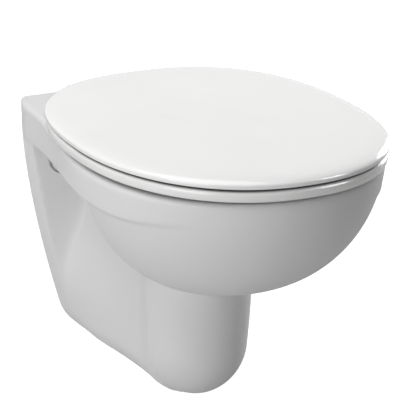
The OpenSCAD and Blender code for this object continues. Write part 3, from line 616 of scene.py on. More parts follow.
# %% Net of the surface
def net(values, axes, cell):
    """Points and quads of the zero surface of a grid of values."""
    shape = [n - 1 for n in values.shape]
    total, hits = np.zeros(shape + [3]), np.zeros(shape)
    cells = np.arange(hits.size).reshape(shape)
    quads = []
    for axis in range(3):
        b, c = (axis + 1) % 3, (axis + 2) % 3
        turned = [np.moveaxis(v, (axis, b, c), (0, 1, 2)) for v in (values, total, hits, cells)]
        v, sums, count, index = turned
        i, j, k = np.nonzero((v[:-1] < 0) != (v[1:] < 0))
        first, last = v[i, j, k], v[i + 1, j, k]
        point = np.empty((len(i), 3))
        point[:, axis] = axes[axis][i] + first / (first - last) * cell
        point[:, b], point[:, c] = axes[b][j], axes[c][k]
        inner = (j > 0) & (k > 0) & (j < v.shape[1] - 1) & (k < v.shape[2] - 1)
        corners = []
        for dj, dk in ((-1, -1), (0, -1), (0, 0), (-1, 0)):
            jj, kk = j + dj, k + dk
            ok = (jj >= 0) & (kk >= 0) & (jj < v.shape[1] - 1) & (kk < v.shape[2] - 1)
            np.add.at(sums, (i[ok], jj[ok], kk[ok]), point[ok])
            np.add.at(count, (i[ok], jj[ok], kk[ok]), 1)
            corners.append(index[i[inner], jj[inner], kk[inner]])
        quad = np.stack(corners, axis=1)
        inward = first[inner] > 0
        quad[inward] = quad[inward][:, ::-1]
        quads.append(quad)
    used, quads = np.unique(np.concatenate(quads), return_inverse=True)
    points = total.reshape(-1, 3)[used] / hits.reshape(-1)[used][:, None]
    return points, quads.reshape(-1, 4)


ball = np.linalg.norm(np.indices((8, 8, 8)) - 3.5, axis=0) - 2.5
print("a small ball gives a net of", len(net(ball, [np.arange(8.0)] * 3, 1.0)[1]), "quads")


# %% Settle the points
def pull(field, points, reach=3.0):
    """One step of each point along the slope onto the surface."""
    v = field(*points.T)
    ahead = [field(*(points + STEP * axis).T) - v for axis in np.eye(3)]
    slope = np.stack(ahead, axis=1) / STEP
    size = np.sum(slope * slope, axis=1) + 1e-6
    return points - np.clip(v / size, -reach, reach)[:, None] * slope


def settle(field, points, quads, rounds=3, pace=0.6):
    """Spreads the points evenly over the surface. Those on the mirror plane stay on it."""
    middle = np.abs(points[:, 0]) < ON_MIRROR
    ends = np.concatenate([quads[:, [i, (i + 1) % 4]] for i in range(4)])
    ends = np.concatenate([ends, ends[:, ::-1]])
    weight = np.bincount(ends[:, 0], minlength=len(points))
    for _ in range(rounds):
        sums = [np.bincount(ends[:, 0], points[ends[:, 1], k], len(points)) for k in range(3)]
        mean = np.stack(sums, axis=1) / weight[:, None]
        points = points + pace * (mean - points)
        for _ in range(2):
            points = pull(field, points)
            points[middle, 0] = 0
    return points


print("the slope is read over", STEP, "mm")

# %% [markdown]
# ### Casting
# One half is read, netted and settled, and its mirror image gets the same points on the
# middle plane. The grid is set half a cell off that plane, so that the surface crosses it
# squarely.

# %% Cast the pan
def mesh_object(name, points, faces):
    """Object from points in millimetres and faces as lists of point numbers."""
    mesh = bpy.data.meshes.new(name)
    mesh.from_pydata((np.asarray(points) * MM).tolist(), [], [list(f) for f in faces])
    mesh.update()
    return placed(name, mesh)


def mirrored(points, quads):
    """Both halves as one mesh, sharing the points on the mirror plane."""
    side = np.abs(points[:, 0]) > ON_MIRROR
    twin = np.arange(len(points))
    twin[side] = len(points) + np.arange(np.count_nonzero(side))
    other = points[side] * np.array([-1, 1, 1])
    return np.concatenate([points, other]), np.concatenate([quads, twin[quads][:, ::-1]])


low, high = (-CELL / 2, -PAN_L - 5, BASE_Z - 5), (PAN_W / 2 + 6, 6, RIM_Z + 6)
values, axes = read_grid(china_field, low, high, CELL)
points, quads = net(values, axes, CELL)
points, quads = mirrored(settle(china_field, points, quads), quads)
pan = mesh_object("china_pan", points, quads)
print("pan:", len(points), "points,", len(quads), "quads")

# %% [markdown]
# ### Drilled holes
# The holes for the wall studs and for the seat's hinges are bored while the clay is leather
# hard, so their edges are crisp. The grid is too coarse for that. They are cut
# afterwards with a boolean, by cylinders of many sides.

# %% Cutting tools
def rod(start, end, radius, sides=48):
    """Points and faces of a cylinder between two points."""
    start, end = np.array(start, float), np.array(end, float)
    along = (end - start) / np.linalg.norm(end - start)
    side = np.cross(along, (0, 0, 1) if abs(along[2]) < 0.9 else (0, 1, 0))
    side /= np.linalg.norm(side)
    other = np.cross(along, side)
    turn = 2 * math.pi * np.arange(sides) / sides
    ring = radius * (np.outer(np.cos(turn), side) + np.outer(np.sin(turn), other))
    nxt = (np.arange(sides) + 1) % sides
    faces = [list(range(sides))[::-1], list(range(sides, 2 * sides))]
    faces += [(i, nxt[i], sides + nxt[i], sides + i) for i in range(sides)]
    return np.concatenate([start + ring, end + ring]), faces


def boolean(obj, tools, operation="DIFFERENCE"):
    """Cuts or joins other solids, given as points and faces, and keeps the result."""
    for points, faces in tools:
        tool = mesh_object("tool", points, faces)
        step = obj.modifiers.new("step", "BOOLEAN")
        step.operation, step.solver, step.object = operation, "MANIFOLD", tool
        settled(obj)
        bpy.data.objects.remove(tool)
    return obj


def settled(obj):
    """Applies the modifiers of an object, so that its mesh is plain."""
    depsgraph = bpy.context.evaluated_depsgraph_get()
    result = bpy.data.meshes.new_from_object(obj.evaluated_get(depsgraph))
    obj.modifiers.clear()
    obj.data = result
    result.name = obj.name
    return obj


def smooth_shaded(obj, angle=40):
    """Smooth shading, with a crisp line only where faces meet at more than the angle."""
    obj.data.polygons.foreach_set("use_smooth", [True] * len(obj.data.polygons))
    obj.data.set_sharp_from_angle(angle=math.radians(angle))
    return obj


print("a drill of 48 sides has", len(rod((0, 0, 0), (0, 0, 1), 1.0)[1]), "faces")

# %% Drill the pan
STUD_X, STUD_HOLE_R, SPOT_R, SPOT_Y, SPOT_L = 90.0, 7.2, 17.0, 29.0, 30.0
PAST, HINGE_HOLE_END = 10, 20
holes = []
for x, hinge_x in ((-STUD_X, -HINGE_X), (STUD_X, HINGE_X)):
    holes += [rod((x, -SPOT_Y - 12, 0), (x, PAST, 0), STUD_HOLE_R),
              rod((x, -SPOT_Y - SPOT_L, 0), (x, -SPOT_Y, 0), SPOT_R),
              rod((hinge_x, -HINGE_Y, RIM_Z + PAST), (hinge_x, -HINGE_Y, HINGE_HOLE_END),
                  HINGE_HOLE_R)]
boolean(pan, holes)
smooth_shaded(pan, 50)
print("drilled:", len(pan.data.polygons), "faces")

# %% [markdown]
# ### Where the glaze stops
# Each face takes the bare finish if it lies on the wall plane or in the foot's hollow, and
# the glaze elsewhere. The same forms that shaped the pan answer that question.

# %% Glaze the pan
def face_centres(obj):
    """Middle of each face, in millimetres."""
    centres = np.empty(3 * len(obj.data.polygons))
    obj.data.polygons.foreach_get("center", centres)
    return centres.reshape(-1, 3) / MM


WIPED_HOLLOW, WIPED_DECK, WIPED_WALL = 2.5, 1.0, 2.0
centres = face_centres(pan)
in_foot = (hollow(*centres.T) < WIPED_HOLLOW) & (centres[:, 2] < HOLLOW_TOP + 1)
in_deck = block(*centres.T, DECK_LOW, DECK_HIGH, DECK_R) < WIPED_DECK
bare = in_foot | in_deck | (centres[:, 1] > -WIPED_WALL)
pan.data.materials.append(GLAZE)
pan.data.materials.append(BISCUIT)
pan.data.polygons.foreach_set("material_index", bare.astype(np.int32))
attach(pan, "pan_body")
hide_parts(*[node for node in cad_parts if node.startswith("pan")])
print("bare faces:", int(np.count_nonzero(bare)))

# %% [markdown]
# ## Seat and lid
# Both are pressings whose outline is a lobed oval, blunt at the wall and round at the
# nose. Their section is the same all the way round. That is a rule, so one tree of
# Geometry Nodes makes both: a flat grid is bent round the outline, its columns are
# stations round the oval, and its rows follow a section that is drawn as a small curve.
# The arithmetic of a tree is long, so it is written as a table. Each row becomes one
# node: it names its result, the operation or another kind of node, and its terms.

# %% Helpers for trees that bend a grid
GRID_STEPS = [
    ("columns", "ADD", "Stations", 1),
    ("row", "MODULO", "index", "Rows"),
    ("column", "DIVIDE", "index", "Rows"), ("column", "FLOOR", "column"),
    ("part", "DIVIDE", "column", "Stations"),
    ("turn", "MULTIPLY", "part", 2 * math.pi),
    ("sine", "SINE", "turn"), ("cosine", "COSINE", "turn"),
]


def work_out(tree, known, steps):
    """Adds the rows of a table as nodes. A term is a number or the name of a result."""
    for name, kind, *terms in steps:
        settings = {}
        if kind.isupper():
            kind, settings = "ShaderNodeMath", {"operation": kind}
        inputs = {i: known.get(term, term) for i, term in enumerate(terms)}
        known[name] = add_node(tree, kind, inputs, **settings).outputs[0]


def bending_tree(name, sizes, others=()):
    """Tree with named inputs for a grid's counts and sizes, and what is known in it."""
    tree = bpy.data.node_groups.new(name, "GeometryNodeTree")
    kinds = {"Stations": "Int", "Rows": "Int", "Material": "Material", **dict(others)}
    kinds.update({size: "Float" for size in sizes})
    for title, kind in kinds.items():
        tree.interface.new_socket(title, in_out="INPUT", socket_type="NodeSocket" + kind)
    tree.interface.new_socket("Geometry", in_out="OUTPUT", socket_type="NodeSocketGeometry")
    given = add_node(tree, "NodeGroupInput").outputs
    known = {title: given[title] for title in kinds}
    known["index"] = add_node(tree, "GeometryNodeInputIndex").outputs[0]
    work_out(tree, known, GRID_STEPS)
    return tree, known


def bend(tree, known, position, merge_mm):
    """Moves the grid's points to their places, closes the seams and sets the material."""
    grid = {"Vertices X": known["columns"], "Vertices Y": known["Rows"]}
    geometry = add_node(tree, "GeometryNodeMeshGrid", grid).outputs[0]
    for kind, inputs in (("SetPosition", {"Position": position}),
                         ("MergeByDistance", {"Distance": merge_mm * MM}),
                         ("RealizeInstances", {}),
                         ("SetMaterial", {"Material": known["Material"]})):
        inputs["Geometry"] = geometry
        geometry = add_node(tree, "GeometryNode" + kind, inputs).outputs[0]
    add_node(tree, "NodeGroupOutput", {"Geometry": geometry})
    print("tree", tree.name, "has", len(tree.nodes), "nodes")
    return tree


def grow(tree, name, values):
    """Mesh that a tree makes from the given inputs, as a plain object."""
    obj = placed(name, bpy.data.meshes.new(name))
    step = obj.modifiers.new("step", "NODES")
    step.node_group = tree
    for item in tree.interface.items_tree:
        if item.in_out == "INPUT" and item.name in values:
            step[item.identifier] = values[item.name]
    return settled(obj)


print("every bent grid starts with", len(GRID_STEPS), "steps")

# %% [markdown]
# ### The oval pressing
# Each point of the section says how far it lies inside the outer oval, how far it has
# moved towards the inner oval, and its height. For the lid the inner oval is a point. The
# seat is cut off straight at the back: a high power of both radii joins the oval and the
# straight edge with a round corner. A crown lifts the middle. It follows the point's share
# of the way out to the full outline, which keeps it smooth in every direction.

# %% Tree of the oval pressings
CORNER = 12.0
PRESSING_SIZES = ("Half Width", "Middle", "Front Length", "Back Length", "Front Power",
                  "Back Power", "Straight Back", "Inner Half Width", "Inner Middle",
                  "Inner Length", "Inner Power", "Crown")


def oval_steps(result, half, length, power):
    """Radius of a lobed oval at the angle of the turn."""
    return [
        ("x", "ABSOLUTE", "sine"), ("x", "DIVIDE", "x", half), ("x", "POWER", "x", power),
        ("y", "ABSOLUTE", "cosine"), ("y", "DIVIDE", "y", length), ("y", "POWER", "y", power),
        ("both", "ADD", "x", "y"), ("root", "DIVIDE", -1.0, power),
        (result, "POWER", "both", "root")]


RADIUS_STEPS = [
    ("half", "SUBTRACT", "Half Width", "inset"), ("length", "SUBTRACT", "Length", "inset"),
    *oval_steps("lobed", "half", "length", "Power"),
    ("behind", "MULTIPLY", "cosine", -1.0), ("behind", "MAXIMUM", "behind", 0.01),
    ("straight", "SUBTRACT", "Straight Back", "inset"),
    ("straight", "DIVIDE", "straight", "behind"),
    ("lobed", "POWER", "lobed", -CORNER), ("straight", "POWER", "straight", -CORNER),
    ("outer", "ADD", "lobed", "straight"), ("outer", "POWER", "outer", -1 / CORNER),
    ("half", "ADD", "Inner Half Width", "inset"), ("length", "ADD", "Inner Length", "inset"),
    *oval_steps("inner", "half", "length", "Inner Power")]
CROWN_STEPS = [
    *oval_steps("full", "Half Width", "Length", "Power"),
    ("way out", "SUBTRACT", 1.0, "share"), ("way out", "MULTIPLY", "outer", "way out"),
    ("way out", "DIVIDE", "way out", "full"),
    ("dome", "POWER", "way out", 2.0), ("dome", "SUBTRACT", 1.0, "dome"),
    ("dome", "MULTIPLY", "Crown", "dome"), ("height", "ADD", "height", "dome")]


def pressing_tree():
    tree, known = bending_tree("oval_pressing", PRESSING_SIZES, {"Section": "Object"})
    section = add_node(tree, "GeometryNodeObjectInfo", {"Object": known["Section"]})
    point = add_node(tree, "GeometryNodeSampleIndex", {
        "Geometry": section.outputs["Geometry"], "Index": known["row"],
        "Value": add_node(tree, "GeometryNodeInputPosition").outputs[0]},
        data_type="FLOAT_VECTOR", domain="POINT")
    split = add_node(tree, "ShaderNodeSeparateXYZ", {0: point.outputs[0]})
    known.update(zip(("inset", "share", "height"), split.outputs))
    work_out(tree, known, [("front", "GREATER_THAN", "cosine", 0.0)])
    for size in ("Length", "Power"):
        ends = {"True": known["Front " + size], "False": known["Back " + size]}
        known[size] = add_node(tree, "GeometryNodeSwitch", {"Switch": known["front"], **ends},
                               input_type="FLOAT").outputs[0]
    work_out(tree, known, RADIUS_STEPS + CROWN_STEPS)
    for radius, middle in (("outer", "Middle"), ("inner", "Inner Middle")):
        work_out(tree, known, [
            ("x", "MULTIPLY", radius, "sine"), ("ahead", "MULTIPLY", radius, "cosine"),
            ("y", "MULTIPLY", middle, -1.0), ("y", "SUBTRACT", "y", "ahead"),
            (radius, "ShaderNodeCombineXYZ", "x", "y", "height")])
    mix = {"Factor": known["share"], 4: known["outer"], 5: known["inner"]}
    position = add_node(tree, "ShaderNodeMix", mix, data_type="VECTOR").outputs[1]
    return bend(tree, known, position, 0.02)


PRESSING = pressing_tree()

# %% [markdown]
# ### Sections
# A section is a list of corner points, and a smooth curve is drawn through them, because
# a pressing has no hard edge: the mould's edges are rounded so that the resin can flow.

# %% Draw a section
SEAT_STATIONS = 224


def fair(corners, steps, closed=False):
    """Smooth curve through the corners: three coordinates each."""
    p = np.array(corners, float)
    ends = (p[-1:], p[:2]) if closed else (2 * p[:1] - p[1:2], 2 * p[-1:] - p[-2:-1])
    p = np.concatenate([ends[0], p, ends[1]])
    out = []
    for a, b, c, d in zip(p, p[1:], p[2:], p[3:]):
        gaps = [max(np.linalg.norm(v - u), 1e-6) ** 0.5 for u, v in ((a, b), (b, c), (c, d))]
        m1 = gaps[1] * ((b - a) / gaps[0] - (c - a) / (gaps[0] + gaps[1])) + (c - b)
        m2 = gaps[1] * ((d - c) / gaps[2] - (d - b) / (gaps[1] + gaps[2])) + (c - b)
        for t in np.arange(steps) / steps:
            out.append((2 * t**3 - 3 * t * t + 1) * b + (t**3 - 2 * t * t + t) * m1
                       + (3 * t * t - 2 * t**3) * c + (t**3 - t * t) * m2)
    out.append(p[1] if closed else p[-2])
    return np.array(out)


@contextmanager
def opened(obj):
    """The mesh of an object, open for edits, and written back at the end."""
    bm = bmesh.new()
    bm.from_mesh(obj.data)
    yield bm
    bm.to_mesh(obj.data)
    bm.free()


def pressing(name, section, sizes):
    """Piece of seat resin from its section (inset, share and height) and its oval's sizes."""
    mesh = bpy.data.meshes.new(name + "_section")
    mesh.from_pydata((section * (MM, 1, MM)).tolist(), [], [])
    shape = bpy.data.objects.new(mesh.name, mesh)
    values = {"Section": shape, "Stations": SEAT_STATIONS, "Rows": len(section), "Material": RESIN}
    values.update({key: value * (1.0 if "Power" in key else MM) for key, value in sizes.items()})
    obj = grow(PRESSING, name, values)
    bpy.data.objects.remove(shape)
    with opened(obj) as bm:
        bmesh.ops.recalc_face_normals(bm, faces=bm.faces)
        print(name, len(bm.faces), "faces, open edges:", sum(not e.is_manifold for e in bm.edges))
    return obj


print("stations round the oval:", SEAT_STATIONS)

# %% [markdown]
# ### The lid
# The lid is a shell: its under side runs from the middle to the skirt, which hangs down
# all round, and its upper side rises from a short upright edge and ends level, where the
# crown takes over. The points of that edge are spaced by a square, closer together where
# it is steep.

# %% Press the lid
LID_W, LID_BACK, LID_LAP, LID_Z, LID_T = 358.0, 47.0, 8.0, 100.0, 4.0
LID_SIDE, LID_EDGE, LID_ROUND, LID_CROWN, SKIRT = 4.0, 10.4, 28.0, 5.7, 5.0
LID_NOSE, LID_MID = PAN_L + LID_LAP, BELLY_Y - 11
EDGE_Z = LID_Z + LID_EDGE
EDGE_POWER = 3.0
NO_OVAL, NO_STRAIGHT = 0.001 - LID_ROUND, 1e6


def edge_point(share):
    """Point of the rounded edge: upright at the outline, and level where the crown begins."""
    rise = (LID_EDGE - LID_SIDE) * math.sqrt(1 - (1 - share) ** EDGE_POWER)
    return (LID_ROUND * share, 0, LID_Z + LID_SIDE + rise)


under = [(LID_ROUND, 1 - s, EDGE_Z - LID_T) for s in np.linspace(0, 1, 12)]
skirt = [(LID_ROUND - 5, 0, EDGE_Z - LID_T - 0.4), (2.5 * SKIRT, 0, LID_Z + 5.1),
         (1.5 * SKIRT, 0, LID_Z + 3.6), (SKIRT, 0, LID_Z + 1.5), (SKIRT, 0, LID_Z + 0.4),
         (SKIRT - 1, 0, LID_Z), (1.6, 0, LID_Z), (0.4, 0, LID_Z + 0.4), (0, 0, LID_Z + 1.4)]
edge = [edge_point((i / 30) ** 2) for i in range(1, 31)]
over = [(LID_ROUND, s, EDGE_Z) for s in np.linspace(0, 1, 25)[1:]]
section = np.concatenate([under, fair(skirt + [edge_point(0)], 4), edge, over])
OVAL_SIZES = {"Middle": LID_MID, "Front Power": 2.18, "Back Power": 2.48}
lid = pressing("lid_shell", section, {
    **OVAL_SIZES, "Half Width": LID_W / 2, "Front Length": LID_NOSE - LID_MID,
    "Back Length": LID_MID - LID_BACK, "Straight Back": NO_STRAIGHT,
    "Inner Half Width": NO_OVAL, "Inner Middle": LID_MID, "Inner Length": NO_OVAL,
    "Inner Power": 2.0, "Crown": LID_CROWN})

# %% [markdown]
# ### The seat ring
# The ring's section is one closed curve from the outer edge over the top, down round the
# mouth and back along the under side. It is 1.2 mm smaller all round than the lid, so a
# thin dark line shows between them, deepened by the resin's painted gap shade.

# %% Press the seat
SEAT_Z, SEAT_T, SEAT_MOUTH_W, SEAT_MOUTH_L, SEAT_NOSE_W = 84.5, 14.5, 222.0, 268.0, 56.0
SEAT_TOP, SEAT_OUT = SEAT_Z + SEAT_T, 1.2
SEAT_BACK_Y = HINGE_Y + 17
ring = [(3.4, 0, SEAT_Z), (1.2, 0, SEAT_Z + 1.2), (0.2, 0, SEAT_Z + 4), (0, 0, SEAT_TOP - 5.0),
        (0.9, 0, SEAT_TOP - 3.0), (3, 0, SEAT_TOP - 1.5), (7, 0, SEAT_TOP - 0.7),
        (10, 0.5, SEAT_TOP - 0.2), (12, 1, SEAT_TOP - 0.4), (4, 1, SEAT_TOP - 2),
        (1, 1, SEAT_TOP - 4.5), (0, 1, SEAT_TOP - 8), (0.8, 1, SEAT_Z + 1.5),
        (2.5, 1, SEAT_Z), (6, 0.85, SEAT_Z), (6, 0.15, SEAT_Z)]
seat = pressing("seat_shell", fair(ring, 4, closed=True), {
    **OVAL_SIZES, "Half Width": LID_W / 2 - SEAT_OUT,
    "Front Length": LID_NOSE - LID_MID - SEAT_OUT, "Back Length": LID_MID - LID_BACK - SEAT_OUT,
    "Straight Back": LID_MID - SEAT_BACK_Y, "Inner Half Width": SEAT_MOUTH_W / 2,
    "Inner Middle": LID_NOSE - SEAT_NOSE_W - SEAT_MOUTH_L / 2,
    "Inner Length": SEAT_MOUTH_L / 2, "Inner Power": 2.2, "Crown": 0.0})

# %% [markdown]
# ### Hinge ears
# Ears on the seat and on the lid interleave with the lug of each hinge post, and one pin
# passes through them all. They are part of the pressing, so they are joined to it by a
# boolean. The lid is cut away underneath, so that it clears the posts as it swings.

# %% Shapes for the ears
HINGE_AXIS_Y, HINGE_AXIS_Z, BARREL_R, PIN_D, PIN_FIT, BUSH_WALL = 64.0, 98.5, 6.0, 6.0, 0.05, 1.2
LUG_W, EAR_W, SIDE_GAP, SEAT_BITE = 12.0, 9.0, 0.5, 12
BUSH_R = PIN_D / 2 + PIN_FIT + BUSH_WALL
SEAT_EAR_X = HINGE_X - LUG_W / 2 - SIDE_GAP - EAR_W
LID_EAR_X = HINGE_X + LUG_W / 2 + SIDE_GAP


def axle(x, length, radius):
    """Rod on the hinge axis."""
    return rod((x, -HINGE_AXIS_Y, HINGE_AXIS_Z), (x + length, -HINGE_AXIS_Y, HINGE_AXIS_Z), radius)


def rounded_outline(corners, radii, steps=6):
    """Polygon of corners, each rounded by its own radius."""
    out = []
    n = len(corners)
    for i in range(n):
        before, here, after = (np.array(corners[k % n], float) for k in (i - 1, i, i + 1))
        r = radii[i] if isinstance(radii, list) else radii
        a, b = before - here, after - here
        la, lb = np.linalg.norm(a), np.linalg.norm(b)
        cosine = float(np.dot(a, b) / (la * lb))
        reach = r / math.tan(math.acos(max(-1, min(1, cosine))) / 2)
        reach = min(reach, 0.48 * la, 0.48 * lb)
        p, q = here + a / la * reach, here + b / lb * reach
        for t in np.arange(steps + 1) / steps:
            out.append((1 - t) ** 2 * p + 2 * t * (1 - t) * here + t * t * q)
    return np.array(out)


def plate(x, width, outline):
    """Points and faces of a plate from x on, with an outline of (y, z) points."""
    n = len(outline)
    ends = [np.column_stack([np.full(n, x + w), outline]) for w in (0, width)]
    y, z = outline.T
    area = np.sum(y * np.roll(z, -1) - np.roll(y, -1) * z)
    nxt = (np.arange(n) + 1) % n
    faces = [list(range(n))[::-1], list(range(n, 2 * n))]
    faces += [(i, nxt[i], n + nxt[i], n + i) for i in range(n)]
    return np.concatenate(ends), faces if area > 0 else [f[::-1] for f in faces]


print("seat ears from x", SEAT_EAR_X, "and lid ears from x", LID_EAR_X)

# %% Ears and notches
ear_back, ear_low, ear_high = -SEAT_BACK_Y - SEAT_BITE, HINGE_AXIS_Z - 10, SEAT_TOP - 1
seat_ear = rounded_outline([(ear_back, ear_low), (-HINGE_AXIS_Y - 4, ear_low),
                            (-HINGE_AXIS_Y, HINGE_AXIS_Z - BARREL_R + 0.2),
                            (-HINGE_AXIS_Y, HINGE_AXIS_Z), (-HINGE_AXIS_Y - 5, ear_high),
                            (ear_back, ear_high)], 1.0)
NOTCH_X0, NOTCH_X1, NOTCH_Y = SEAT_EAR_X - 3, LID_EAR_X + EAR_W + 2, HINGE_AXIS_Y + 16
NOTCH_LOW, NOTCH_HIGH, NOTCH_END = LID_Z - 5, HINGE_AXIS_Z + BARREL_R + 0.4, -4
lid_ear = rounded_outline([(-NOTCH_Y - 2, HINGE_AXIS_Z + 2), (-HINGE_AXIS_Y, HINGE_AXIS_Z),
                           (-HINGE_AXIS_Y, HINGE_AXIS_Z + BARREL_R + 1),
                           (-NOTCH_Y - 2, EDGE_Z - 3.5)], 0.8)
notch = rounded_outline([(-NOTCH_Y, NOTCH_LOW), (NOTCH_END, NOTCH_LOW),
                         (NOTCH_END, NOTCH_HIGH), (-NOTCH_Y, NOTCH_HIGH)], 1.0)
for x in (-NOTCH_X1, NOTCH_X0):
    boolean(lid, [plate(x, NOTCH_X1 - NOTCH_X0, notch)])
for obj, x0, ear, body, node in ((seat, SEAT_EAR_X, seat_ear, "seat_body", "seat_ring"),
                                 (lid, LID_EAR_X, lid_ear, "lid_body", "lid")):
    for x in (x0, -x0 - EAR_W):
        boolean(obj, [plate(x, EAR_W, ear), axle(x, EAR_W, BARREL_R)], "UNION")
        boolean(obj, [axle(x - 1, EAR_W + 2, BUSH_R + 0.02)])
    smooth_shaded(obj, 35)
    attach(obj, body)
    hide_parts(node)
    print(obj.name, len(obj.data.polygons), "faces")

# %% [markdown]
# ## Threads
# The studs carry coarse metric threads. A thread follows one rule: at a height h and a
# share t of a turn, the surface lies in or out by where h / pitch - t falls between two
# crests. So a second tree bends a grid into the rod. Its first and last rows lie on the
# axis and close the ends, and both ends are chamfered down to the root.

# %% Tree of the threaded rod
CREST, FLANK = 0.15, 0.65
ROWS_A_PITCH, ROD_STATIONS = 9, 32
THREAD_STEPS = [
    ("share", "SUBTRACT", "row", 1), ("spans", "SUBTRACT", "Rows", 3),
    ("share", "DIVIDE", "share", "spans"),
    ("share", "MAXIMUM", "share", 0), ("share", "MINIMUM", "share", 1),
    ("along", "MULTIPLY", "share", "Length"),
    ("phase", "DIVIDE", "along", "Pitch"), ("phase", "SUBTRACT", "phase", "part"),
    ("phase", "FRACT", "phase"),
    ("wave", "MULTIPLY", "phase", 2.0), ("wave", "SUBTRACT", "wave", 1.0),
    ("wave", "ABSOLUTE", "wave"),
    ("flank", "SUBTRACT", "wave", CREST), ("flank", "DIVIDE", "flank", FLANK),
    ("flank", "MAXIMUM", "flank", 0), ("flank", "MINIMUM", "flank", 1),
    ("cut", "MULTIPLY", "Depth", "flank"), ("cut", "SUBTRACT", "Radius", "cut"),
    ("to end", "SUBTRACT", "Length", "along"), ("to end", "MINIMUM", "along", "to end"),
    ("root", "SUBTRACT", "Radius", "Depth"), ("chamfer", "ADD", "root", "to end"),
    ("radius", "MINIMUM", "cut", "chamfer"),
    ("after first", "GREATER_THAN", "row", 0.5),
    ("last", "SUBTRACT", "Rows", 1.5), ("before last", "LESS_THAN", "row", "last"),
    ("inside", "MULTIPLY", "after first", "before last"),
    ("radius", "MULTIPLY", "radius", "inside"),
    ("x", "MULTIPLY", "radius", "cosine"), ("z", "MULTIPLY", "radius", "sine"),
    ("position", "ShaderNodeCombineXYZ", "x", "along", "z")]


def thread_tree():
    tree, known = bending_tree("threaded_rod", ("Radius", "Depth", "Pitch", "Length"))
    work_out(tree, known, THREAD_STEPS)
    return bend(tree, known, known["position"], 0.002)


def threaded(radius, pitch, length):
    """Rod with a thread of its pitch. The thread is 0.61 of the pitch deep."""
    sizes = {"Radius": radius, "Depth": THREAD_SHARE * pitch, "Pitch": pitch, "Length": length}
    counts = {"Stations": ROD_STATIONS, "Rows": int(length / pitch * ROWS_A_PITCH) + 3}
    return grow(THREAD, "rod", {"Material": ZINC, **counts,
                                **{key: size * MM for key, size in sizes.items()}})


THREAD, THREAD_SHARE = thread_tree(), 0.61

# %% [markdown]
# ### Finishing a small piece
# Small pieces are made in loose parts and then gathered. Each gets clean edges, normals
# that point outwards, its finish, and its place in the frame on the pan's body.

# %% Helpers for small pieces
def finished(obj, node, material, angle=40):
    """Gives a detailed piece its outward normals and its place in the frame."""
    with opened(obj) as bm:
        bmesh.ops.remove_doubles(bm, verts=bm.verts, dist=1e-6)
        bmesh.ops.dissolve_degenerate(bm, edges=bm.edges, dist=1e-7)
        bmesh.ops.delete(bm, geom=[e for e in bm.edges if not e.link_faces], context="EDGES")
        bmesh.ops.recalc_face_normals(bm, faces=bm.faces)
        open_edges = sum(not e.is_manifold for e in bm.edges)
    obj.data.materials.clear()
    obj.data.materials.append(material)
    smooth_shaded(obj, angle)
    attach(obj, "pan_body")
    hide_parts(node)
    print(node, len(obj.data.polygons), "faces, open edges:", open_edges)


def gathered(name, pieces):
    """One object from other objects, each copied to the given places, which are used up."""
    whole = placed(name, bpy.data.meshes.new(name))
    with opened(whole) as bm:
        for obj, places in pieces:
            for place in places:
                mesh = obj.data.copy()
                mesh.transform(place)
                bm.from_mesh(mesh)
                bpy.data.meshes.remove(mesh)
            bpy.data.objects.remove(obj)
    return whole


def moved(x, y, z, tilt=0.0):
    return Matrix.Translation(Vector((x, y, z)) * MM) @ Matrix.Rotation(math.radians(tilt), 4, "X")


print("a thread is", THREAD_SHARE, "of its pitch deep")

# %% [markdown]
# ### Studs
# The wall studs are stepped: an M12 thread runs into the wall and an M10 thread takes the
# nut. The seat's studs are M8.

# %% Cut the threads
SHANK_L, BED_L = 47.0, 45.0
BOLT_Z, BOLT_L = 8.0, 77.0
shank, bed, bolt = threaded(5.0, 1.5, SHANK_L), threaded(6.0, 1.75, BED_L), threaded(4.0, 1.25, BOLT_L)
wall_studs = gathered("wall_stud_threads", [
    (shank, [moved(x, -SHANK_L, 0) for x in (-STUD_X, STUD_X)]),
    (bed, [moved(x, 0, 0) for x in (-STUD_X, STUD_X)])])
seat_studs = gathered("seat_stud_threads", [
    (bolt, [moved(x, -HINGE_Y, BOLT_Z, 90) for x in (-HINGE_X, HINGE_X)])])
finished(wall_studs, "wall_studs", ZINC, 60)
finished(seat_studs, "seat_studs", ZINC, 60)

# %% [markdown]
# ### Turned pieces
# Sleeves, washers, caps, pins and the inlet seal are round, so each is a closed profile
# turned about its axis. Every corner of a profile has its own small radius, as moulding
# and tumbling leave it. Profiles are lists of distance along the axis and radius.

# %% Turn the round pieces
def lathe(name, profile, centres, axis, sides=72):
    """Object from a closed profile, turned about an axis through each of the centres."""
    axis, side = np.array(axis, float), np.array((1.0, 0, 0) if axis[0] == 0 else (0, 1.0, 0))
    other = np.cross(axis, side)
    turn = 2 * math.pi * np.arange(sides) / sides
    spokes = np.outer(np.cos(turn), side) + np.outer(np.sin(turn), other)
    n, nxt = len(profile), (np.arange(sides) + 1) % sides
    points, faces = [], []
    for piece, centre in enumerate(centres):
        first = piece * n * sides
        points += [np.array(centre) + a * axis + r * spokes for a, r in profile]
        for k in range(n):
            here, there = first + k * sides, first + (k + 1) % n * sides
            faces += [(here + i, here + nxt[i], there + nxt[i], there + i) for i in range(sides)]
    return mesh_object(name, np.concatenate(points), faces)


